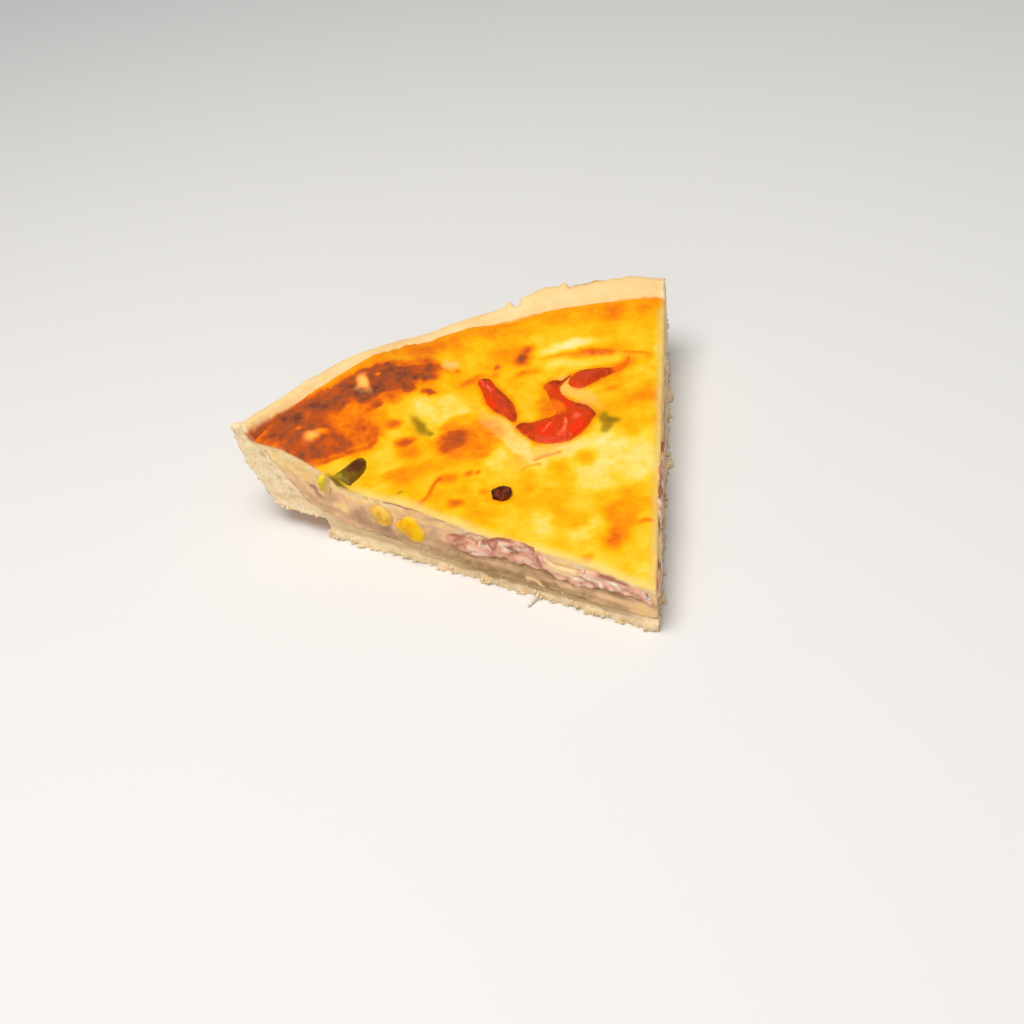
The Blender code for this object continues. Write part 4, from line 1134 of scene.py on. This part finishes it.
def laid_piece(name, outline, rise, slope, thick, grid):
    """A thin slab with this outline, sunk in the custard's skin. It bulges by rise within slope of its edge."""
    xs, ys = zip(*outline)
    steps = [round((max(c) - min(c)) / grid) for c in (xs, ys)]
    slab = bmesh.new()
    bmesh.ops.create_grid(slab, x_segments=steps[0], y_segments=steps[1], size=0.5)
    bmesh.ops.scale(slab, vec=(max(xs) - min(xs), max(ys) - min(ys), 1), verts=slab.verts)
    middle = ((max(xs) + min(xs)) / 2, (max(ys) + min(ys)) / 2, 0)
    bmesh.ops.translate(slab, vec=middle, verts=slab.verts)
    spots = np.array([v.co for v in slab.verts])
    inside = within(spots[:, 0], spots[:, 1], outline)
    bmesh.ops.delete(slab, geom=[v for v, keep in zip(slab.verts, inside) if not keep], context="VERTS")
    bmesh.ops.delete(slab, geom=[v for v in slab.verts if not v.link_faces], context="VERTS")
    for _ in range(3):
        rim = [v for v in slab.verts if v.is_boundary]
        bmesh.ops.smooth_vert(slab, verts=rim, factor=0.5, use_axis_x=True, use_axis_y=True)
    spots = np.array([v.co for v in slab.verts])
    inset = distance_to(spots[:, 0], spots[:, 1], outline + outline[:1])
    for vert, gap in zip(slab.verts, inset):
        x, y = vert.co.x / MM, vert.co.y / MM + TIP.y
        skin_z = custard_surface.ray_cast(Vector((x, y, 0.1)), Vector((0, 0, -1)))[0].z
        share = min(1.0, gap / slope)
        vert.co = (x, y, skin_z + 0.00003 + rise * share * share * (3 - 2 * share))
    made = bmesh.ops.extrude_face_region(slab, geom=slab.faces[:])["geom"]
    lower = [g for g in made if isinstance(g, bmesh.types.BMVert)]
    bmesh.ops.translate(slab, vec=(0, 0, -thick), verts=lower)
    bmesh.ops.recalc_face_normals(slab, faces=slab.faces)
    data = bpy.data.meshes.new(name)
    slab.to_mesh(data)
    slab.free()
    data.shade_smooth()
    piece = bpy.data.objects.new(name, data)
    bpy.context.scene.collection.objects.link(piece)
    return piece


custard_surface = BVHTree.FromPolygons(
    [v.co for v in filling.data.vertices], [list(p.vertices) for p in filling.data.polygons]
)

# Roasted pepper: a thin waxy skin over wet flesh, glossy, and dark red to orange-red, with pale pink membrane and
# painted highlights
roasted_red, tree, shader = new_material("roasted_red_pepper")
spot_at = add(tree, "ShaderNodeTexCoord").outputs["Object"]
toned = add(tree, "ShaderNodeAttribute", attribute_name="tone").outputs["Fac"]
crimsoned = add(tree, "ShaderNodeAttribute", attribute_name="crimson").outputs["Fac"]
oranged = add(tree, "ShaderNodeAttribute", attribute_name="orange").outputs["Fac"]
blotches = add(tree, "ShaderNodeTexNoise", {"Vector": spot_at, "Scale": 420.0, "Detail": 4.0, "Roughness": 0.6})
uneven = add(tree, "ShaderNodeMath", {0: blotches.outputs["Fac"], 1: 0.24, 2: -0.12}, operation="MULTIPLY_ADD")
lit = add(tree, "ShaderNodeMath", {0: toned, 1: uneven.outputs[0]}, operation="ADD", use_clamp=True)
skin = add(
    tree,
    "ShaderNodeValToRGB",
    {"Fac": lit.outputs[0]},
    stops=[
        (0.0, "#6E2206"),
        (1.0, "#FF9468"),
        (0.22, "#A63406"),
        (0.48, "#D94206"),
        (0.68, "#F03004"),
        (0.84, "#FA5228"),
    ],
)
deep = add(
    tree,
    "ShaderNodeValToRGB",
    {"Fac": lit.outputs[0]},
    stops=[(0.0, "#6C2010"), (1.0, "#FF9A80"), (0.30, "#A8381C"), (0.60, "#CC4224"), (0.84, "#F25C3C")],
)
flushed = add(
    tree,
    "ShaderNodeMix",
    {0: crimsoned, 6: skin.outputs["Color"], 7: deep.outputs["Color"]},
    data_type="RGBA",
)
colour = add(
    tree,
    "ShaderNodeMix",
    {0: oranged, 6: flushed.outputs[2], 7: linear("#FA7A02")},
    data_type="RGBA",
)
bump = add(tree, "ShaderNodeBump", {"Height": blotches.outputs["Fac"], "Strength": 0.35, "Distance": 0.0004})
tree.links.new(colour.outputs[2], shader.inputs["Base Color"])
tree.links.new(bump.outputs["Normal"], shader.inputs["Normal"])
shader.inputs["Roughness"].default_value = 0.40
shader.inputs["Specular IOR Level"].default_value = 0.14
shader.inputs["Subsurface Weight"].default_value = 0.10
shader.inputs["Subsurface Radius"].default_value = (0.0018, 0.0005, 0.0003)
shader.inputs["Subsurface Scale"].default_value = 1.0

skin_places = read(filling, "co")
skin_x, skin_y = (skin_places[:, 0] - TIP.x) * MM, (skin_places[:, 1] - TIP.y) * MM
skin_bake = np.empty(len(skin_places))
filling.data.attributes["bake"].data.foreach_get("value", skin_bake)
for node, outline in RED_OUTLINES.items():
    from_strip = distance_to(skin_x, skin_y, outline + outline[:1]) + 0.5 * crags(skin_places, 0.003, 58.0)
    stained = 0.8 * (1 - smooth(0.0, 1.5, from_strip))
    skin_bake = skin_bake + (STAIN - skin_bake) * stained
    strip = laid_piece(node.replace("pepper", "pepper_roasted"), outline, 0.0012, 2.4, PEPPER_SLAB, PEPPER_GRID)
    places = read(strip, "co")
    normals = read(strip, "normal")
    x_mm, y_mm = (places[:, 0] - TIP.x) * MM, (places[:, 1] - TIP.y) * MM
    wide = x_mm + 0.5 * crags(places, 0.0025, 54.0)
    far = y_mm + 0.5 * crags(places, 0.0025, 56.0)
    tone = blended(wide, far, np.full(len(x_mm), 0.45), RED_TONES)
    inset = distance_to(x_mm, y_mm, outline + outline[:1])
    soft_edge = 1 - smooth(0.0, 0.9, inset + 0.4 * crags(places, 0.0018, 59.0))
    tone = tone - 0.05 * (1 - smooth(0.2, 1.1, inset)) + 0.10 * crags(places, 0.0013, 55.0)
    wrinkled = 0.00022 * crags(places, 0.0022, 57.0) + 0.00016 * crags(places, 0.0011, 53.0)
    wrinkled += 0.0005 * (tone - 0.45)
    write(strip, places + normals * (wrinkled * smooth(0.3, 1.2, inset))[:, None])
    paint(strip, "tone", np.clip(tone, 0, 1))
    paint(strip, "crimson", np.clip(blended(wide, far, np.zeros(len(x_mm)), RED_CRIMSON), 0, 1))
    melted = blended(wide, far, np.zeros(len(x_mm)), RED_ORANGE)
    paint(strip, "orange", np.clip(np.maximum(melted, 0.70 * soft_edge), 0, 1))
    strip.data.materials.append(roasted_red)
    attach(strip, "root")
    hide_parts(node)
filling.data.attributes["bake"].data.foreach_set("value", skin_bake.astype(np.float32))

# Green pepper
# One strip of green pepper beside the left cut, roasted to a dull olive, with a darker brown middle.
GREEN_OUTLINE = [
    (-55.6, 84.9), (-54.6, 86.1), (-51.0, 87.6), (-48.4, 88.9), (-46.0, 89.7), (-44.5, 89.3), (-43.9, 87.7),
    (-44.8, 85.5), (-46.2, 83.9), (-48.3, 82.5), (-50.7, 81.2), (-52.6, 80.4), (-53.8, 82.2), (-54.9, 83.9),
]
# Tone from 0, dark purple-brown, to 1, yellow olive
GREEN_TONES = [
    (-53.4, 83.4, 2.0, 2.4, 28, 0.60, 0.8),
    (-47.9, 86.4, 4.0, 2.0, 26, 0.08, 0.95),
    (-52.8, 83.6, 3.2, 2.0, 28, 0.55, 0.9),
    (-54.2, 84.4, 1.6, 1.2, 0, 0.80, 0.8),
    (-45.0, 88.6, 1.6, 1.2, 30, 0.42, 0.8),
    (-50.4, 87.2, 2.6, 0.7, 28, 0.60, 0.7),
    (-49.5, 82.4, 3.0, 0.8, 26, 0.46, 0.7),
]
green = laid_piece("green_pepper_roasted", GREEN_OUTLINE, 0.0009, 1.8, PEPPER_SLAB, PEPPER_GRID)
places = read(green, "co")
normals = read(green, "normal")
x_mm, y_mm = (places[:, 0] - TIP.x) * MM, (places[:, 1] - TIP.y) * MM
wide = x_mm + 0.6 * crags(places, 0.0025, 62.0)
far = y_mm + 0.6 * crags(places, 0.0025, 64.0)
inset = distance_to(x_mm, y_mm, GREEN_OUTLINE + GREEN_OUTLINE[:1])
wrinkled = 0.00024 * crags(places, 0.0022, 61.0) + 0.00014 * crags(places, 0.0011, 63.0)
write(green, places + normals * (wrinkled * smooth(0.3, 1.2, inset))[:, None])
tone = blended(wide, far, np.full(len(x_mm), 0.45), GREEN_TONES) + 0.10 * crags(places, 0.0018, 65.0)
paint(green, "tone", np.clip(tone, 0, 1))

# Roasted green pepper: waxy skin gone olive and brown
roasted_green, tree, shader = new_material("roasted_green_pepper")
spot_at = add(tree, "ShaderNodeTexCoord").outputs["Object"]
toned = add(tree, "ShaderNodeAttribute", attribute_name="tone").outputs["Fac"]
blotches = add(tree, "ShaderNodeTexNoise", {"Vector": spot_at, "Scale": 500.0, "Detail": 3.0})
skin = add(
    tree,
    "ShaderNodeValToRGB",
    {"Fac": toned},
    stops=[(0.0, "#54240C"), (1.0, "#B89C10"), (0.30, "#6E4410"), (0.60, "#7E680C")],
)
bump = add(tree, "ShaderNodeBump", {"Height": blotches.outputs["Fac"], "Strength": 0.35, "Distance": 0.0004})
tree.links.new(skin.outputs["Color"], shader.inputs["Base Color"])
tree.links.new(bump.outputs["Normal"], shader.inputs["Normal"])
shader.inputs["Roughness"].default_value = 0.42
shader.inputs["Specular IOR Level"].default_value = 0.14
green.data.materials.append(roasted_green)

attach(green, "root")
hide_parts("green_pepper_strip")

# Charred pepper
# A scrap of pepper that stood up out of the custard and burnt nearly black, with a dark red core.
charred_bit = fine_copy("charred_pepper_bit", "charred_pepper", 0.00026)
places = read(charred_bit, "co")
normals = read(charred_bit, "normal")
shrivelled = 0.00075 * crags(places, 0.0030, 71.0) + 0.00030 * crags(places, 0.0012, 73.0)
write(charred_bit, places + normals * (shrivelled - 0.00015)[:, None])

# Charred skin: carbon and dried red juice, nearly black and slightly shiny on its ridges
charred, tree, shader = new_material("charred_pepper")
spot_at = add(tree, "ShaderNodeTexCoord").outputs["Object"]
soot = add(tree, "ShaderNodeTexNoise", {"Vector": spot_at, "Scale": 520.0, "Detail": 3.0})
skin = add(
    tree,
    "ShaderNodeValToRGB",
    {"Fac": soot.outputs["Fac"]},
    stops=[(0.36, "#2A120A"), (0.70, "#8E3A12"), (0.50, "#4E200E")],
)
bump = add(tree, "ShaderNodeBump", {"Height": soot.outputs["Fac"], "Strength": 0.5, "Distance": 0.0004})
tree.links.new(skin.outputs["Color"], shader.inputs["Base Color"])
tree.links.new(bump.outputs["Normal"], shader.inputs["Normal"])
shader.inputs["Roughness"].default_value = 0.5
shader.inputs["Specular IOR Level"].default_value = 0.12
charred_bit.data.materials.append(charred)

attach(charred_bit, "root")
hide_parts("charred_pepper_bit")

# Sweetcorn
# Kernels in the custard that the knife pushed against or grazed, so they bulge from the left cut.
# Cooked sweetcorn: a tight thin skin over starchy flesh, glossy, from lemon to golden yellow
KERNEL_COLOURS = {
    "sweetcorn_bright": ("#EBA200", "#FFCC00"),
    "sweetcorn_pale": ("#DEA234", "#F8CC54"),
    "sweetcorn_edge": ("#C4A606", "#F2DA1C"),
}
# The bright part of the kernel at the top edge: place along the cut and up, in millimetres
EDGE_SLIVER = [(104.8, 25.6), (105.4, 22.4), (106.4, 18.8)]
COVERED_PROUD = 0.0002
for node, (deep, bright) in KERNEL_COLOURS.items():
    kernel = fine_copy(node, node + "_kernel", 0.00028)
    places = read(kernel, "co")
    normals = read(kernel, "normal")
    dented = 0.00085 * crags(places, 0.0044, 81.0) + 0.00022 * crags(places, 0.0016, 83.0)
    grown = places + normals * (FILLS_BED + dented)[:, None]
    proud = out_of(grown, LEFT)
    top_of_it = proud.max()
    write(kernel, grown)
    smeared = 1 - smooth(0.10 * top_of_it, 0.42 * top_of_it, proud + 0.0004 * crags(places, 0.0022, 85.0))
    if node == "sweetcorn_edge":
        radius = tart(places)[0] * MM
        aside = distance_to(radius + 0.3 * crags(places, 0.0016, 87.0), places[:, 2] * MM, EDGE_SLIVER)
        smeared = np.maximum(smeared, smooth(0.55, 1.3, aside))
        flat = np.maximum(proud - COVERED_PROUD, 0) * smooth(0.55, 1.3, aside)
        write(kernel, grown - np.outer(flat, np.array(outwards(LEFT))))
    paint(kernel, "smeared", np.clip(0.8 * smeared, 0, 1))
    corn, tree, shader = new_material("cooked_" + node)
    spot_at = add(tree, "ShaderNodeTexCoord").outputs["Object"]
    clouds = add(tree, "ShaderNodeTexNoise", {"Vector": spot_at, "Scale": 300.0, "Detail": 3.0})
    skin = add(
        tree,
        "ShaderNodeValToRGB",
        {"Fac": clouds.outputs["Fac"]},
        stops=[(0.30, deep), (0.62, bright)],
    )
    smear = add(tree, "ShaderNodeAttribute", attribute_name="smeared").outputs["Fac"]
    colour = add(
        tree,
        "ShaderNodeMix",
        {0: smear, 6: skin.outputs["Color"], 7: linear("#E2B884")},
        data_type="RGBA",
    )
    bump = add(tree, "ShaderNodeBump", {"Height": clouds.outputs["Fac"], "Strength": 0.2, "Distance": 0.0003})
    tree.links.new(colour.outputs[2], shader.inputs["Base Color"])
    tree.links.new(bump.outputs["Normal"], shader.inputs["Normal"])
    shader.inputs["Roughness"].default_value = 0.40
    shader.inputs["Specular IOR Level"].default_value = 0.14
    shader.inputs["Subsurface Weight"].default_value = 0.2
    shader.inputs["Subsurface Radius"].default_value = (0.0018, 0.0012, 0.0003)
    shader.inputs["Subsurface Scale"].default_value = 1.0
    kernel.data.materials.append(corn)
    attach(kernel, "root")
    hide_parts(node)

# Crumbs
# Loose bits of pastry that the knife tore off and that cling to the cuts and to the edge of the base.
CRUMB_SEED = 7
CRUMB_SIZES = (0.00022, 0.00060)
CRUMB_COUNTS = {LEFT: 300, RIGHT: 160}

crust_surface = BVHTree.FromPolygons(
    [v.co for v in crust.data.vertices], [list(p.vertices) for p in crust.data.polygons]
)
chance = random.Random(CRUMB_SEED)
heap = bmesh.new()
for side, count in CRUMB_COUNTS.items():
    for _ in range(count):
        reach = chance.uniform(0.003, 0.134)
        height = 0.0030 * chance.random() ** 2.2 if chance.random() < 0.88 else chance.uniform(0.003, 0.03)
        line = Vector((side * math.sin(CUT_HALF_ANGLE), math.cos(CUT_HALF_ANGLE), 0))
        aim = TIP + line * reach + outwards(side) * 0.003 + Vector((0, 0, height))
        place, normal, _, gap = crust_surface.find_nearest(aim)
        if gap > 0.006:
            continue
        size = chance.uniform(*CRUMB_SIZES) * chance.uniform(0.6, 1.5)
        made = bmesh.ops.create_icosphere(heap, subdivisions=1, radius=size)["verts"]
        stretch = Vector((chance.uniform(0.6, 1.4), chance.uniform(0.6, 1.4), chance.uniform(0.5, 1.1)))
        for vert in made:
            vert.co *= chance.uniform(0.7, 1.25)
        bmesh.ops.scale(heap, vec=stretch, verts=made)
        turn = Matrix.Rotation(chance.uniform(0, math.tau), 3, Vector((chance.random(), chance.random(), 1)))
        bmesh.ops.rotate(heap, matrix=turn, verts=made)
        sits = place + normal * size * 0.10
        sits.z = max(sits.z, size * 0.6)
        bmesh.ops.translate(heap, vec=sits, verts=made)
for vert in heap.verts:
    vert.co.z = max(vert.co.z, 0)
crumb_data = bpy.data.meshes.new("pastry_crumbs")
heap.to_mesh(crumb_data)
heap.free()
crumbs = bpy.data.objects.new("pastry_crumbs", crumb_data)
bpy.context.scene.collection.objects.link(crumbs)
crumbs.data.shade_smooth()
paint(crumbs, "cut", np.ones(len(crumb_data.vertices)))
paint(crumbs, "soaked_and_shade", np.full(len(crumb_data.vertices), 0.3))
paint(crumbs, "wet_and_shade", np.full(len(crumb_data.vertices), 0.4))
paint(crumbs, "toast", np.full(len(crumb_data.vertices), 0.2))
paint(crumbs, "film", np.zeros(len(crumb_data.vertices)))
paint(crumbs, "film_bake", np.zeros(len(crumb_data.vertices)))
crumbs.data.materials.append(pastry)

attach(crumbs, "root")

# Shred
# A thin pale shred of baked egg white that hangs from the edge of the base, below the left cut.
SHRED = [(-0.0196, -0.0372, 0.0020), (-0.0208, -0.0383, 0.0012), (-0.0228, -0.0391, 0.0009), (-0.0245, -0.0397, 0.0006)]
SHRED_WIDTH = 0.00042

spun = bmesh.new()
ring = bmesh.ops.create_circle(spun, cap_ends=True, segments=8, radius=SHRED_WIDTH)["verts"]
heading_to = (Vector(SHRED[1]) - Vector(SHRED[0])).to_track_quat("Z", "Y").to_matrix()
bmesh.ops.rotate(spun, matrix=heading_to, verts=ring)
bmesh.ops.translate(spun, vec=SHRED[0], verts=ring)
tail = spun.faces[:]
for start, end in zip(SHRED, SHRED[1:]):
    made = bmesh.ops.extrude_face_region(spun, geom=tail)["geom"]
    tail = [g for g in made if isinstance(g, bmesh.types.BMFace)]
    moved = [g for g in made if isinstance(g, bmesh.types.BMVert)]
    bmesh.ops.translate(spun, vec=Vector(end) - Vector(start), verts=moved)
bmesh.ops.recalc_face_normals(spun, faces=spun.faces)
shred_data = bpy.data.meshes.new("egg_shred")
spun.to_mesh(shred_data)
spun.free()
shred_data.shade_smooth()
shred = bpy.data.objects.new("egg_shred", shred_data)
bpy.context.scene.collection.objects.link(shred)

# Baked egg white: pale, smooth and a little translucent
egg_white, tree, shader = new_material("baked_egg_white")
spot_at = add(tree, "ShaderNodeTexCoord").outputs["Object"]
clouds = add(tree, "ShaderNodeTexNoise", {"Vector": spot_at, "Scale": 900.0, "Detail": 2.0})
skin = add(
    tree,
    "ShaderNodeValToRGB",
    {"Fac": clouds.outputs["Fac"]},
    stops=[(0.35, "#E6DCCB"), (0.65, "#F6F1E6")],
)
tree.links.new(skin.outputs["Color"], shader.inputs["Base Color"])
shader.inputs["Roughness"].default_value = 0.45
shred.data.materials.append(egg_white)

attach(shred, "root")

# Floor and light
# A plain pale tabletop, a large soft light above and behind to the left, a weak one by the camera and an even
# pale surround.
FLOOR_HALF = 3.0
floor_shape = bmesh.new()
bmesh.ops.create_grid(floor_shape, x_segments=1, y_segments=1, size=FLOOR_HALF)
bmesh.ops.translate(floor_shape, vec=(0, 0, cad_low[2] - 0.0001), verts=floor_shape.verts)
floor_data = bpy.data.meshes.new("floor")
floor_shape.to_mesh(floor_data)
floor_shape.free()
floor = bpy.data.objects.new("floor", floor_data)
bpy.context.scene.collection.objects.link(floor)
tabletop, tree, shader = new_material("pale_tabletop")
shader.inputs["Base Color"].default_value = linear("#ECECEC")
shader.inputs["Roughness"].default_value = 0.9
shader.inputs["Specular IOR Level"].default_value = 0.1
floor.data.materials.append(tabletop)

LIGHTS = {
    "window": ((-0.20, -0.08, 0.85), 0.60, 6.2, "#FFFAF2"),
    "by_camera": ((-0.45, -0.65, 0.50), 0.70, 1.4, "#FFFFFF"),
}
for name, (place, size, power, colour) in LIGHTS.items():
    light_data = bpy.data.lights.new(name, "AREA")
    light_data.shape = "DISK"
    light_data.size = size
    light_data.energy = power
    light_data.color = linear(colour)[:3]
    light = bpy.data.objects.new(name, light_data)
    bpy.context.scene.collection.objects.link(light)
    light.location = place
    light.rotation_euler = (Vector((0, 0, 0.01)) - Vector(place)).to_track_quat("-Z", "Y").to_euler()

world = bpy.data.worlds.new("surround")
world.use_nodes = True
world.node_tree.nodes["Background"].inputs["Color"].default_value = linear("#F4F6FA")
world.node_tree.nodes["Background"].inputs["Strength"].default_value = 0.30
bpy.context.scene.world = world
bpy.context.scene.view_settings.view_transform = "Standard"
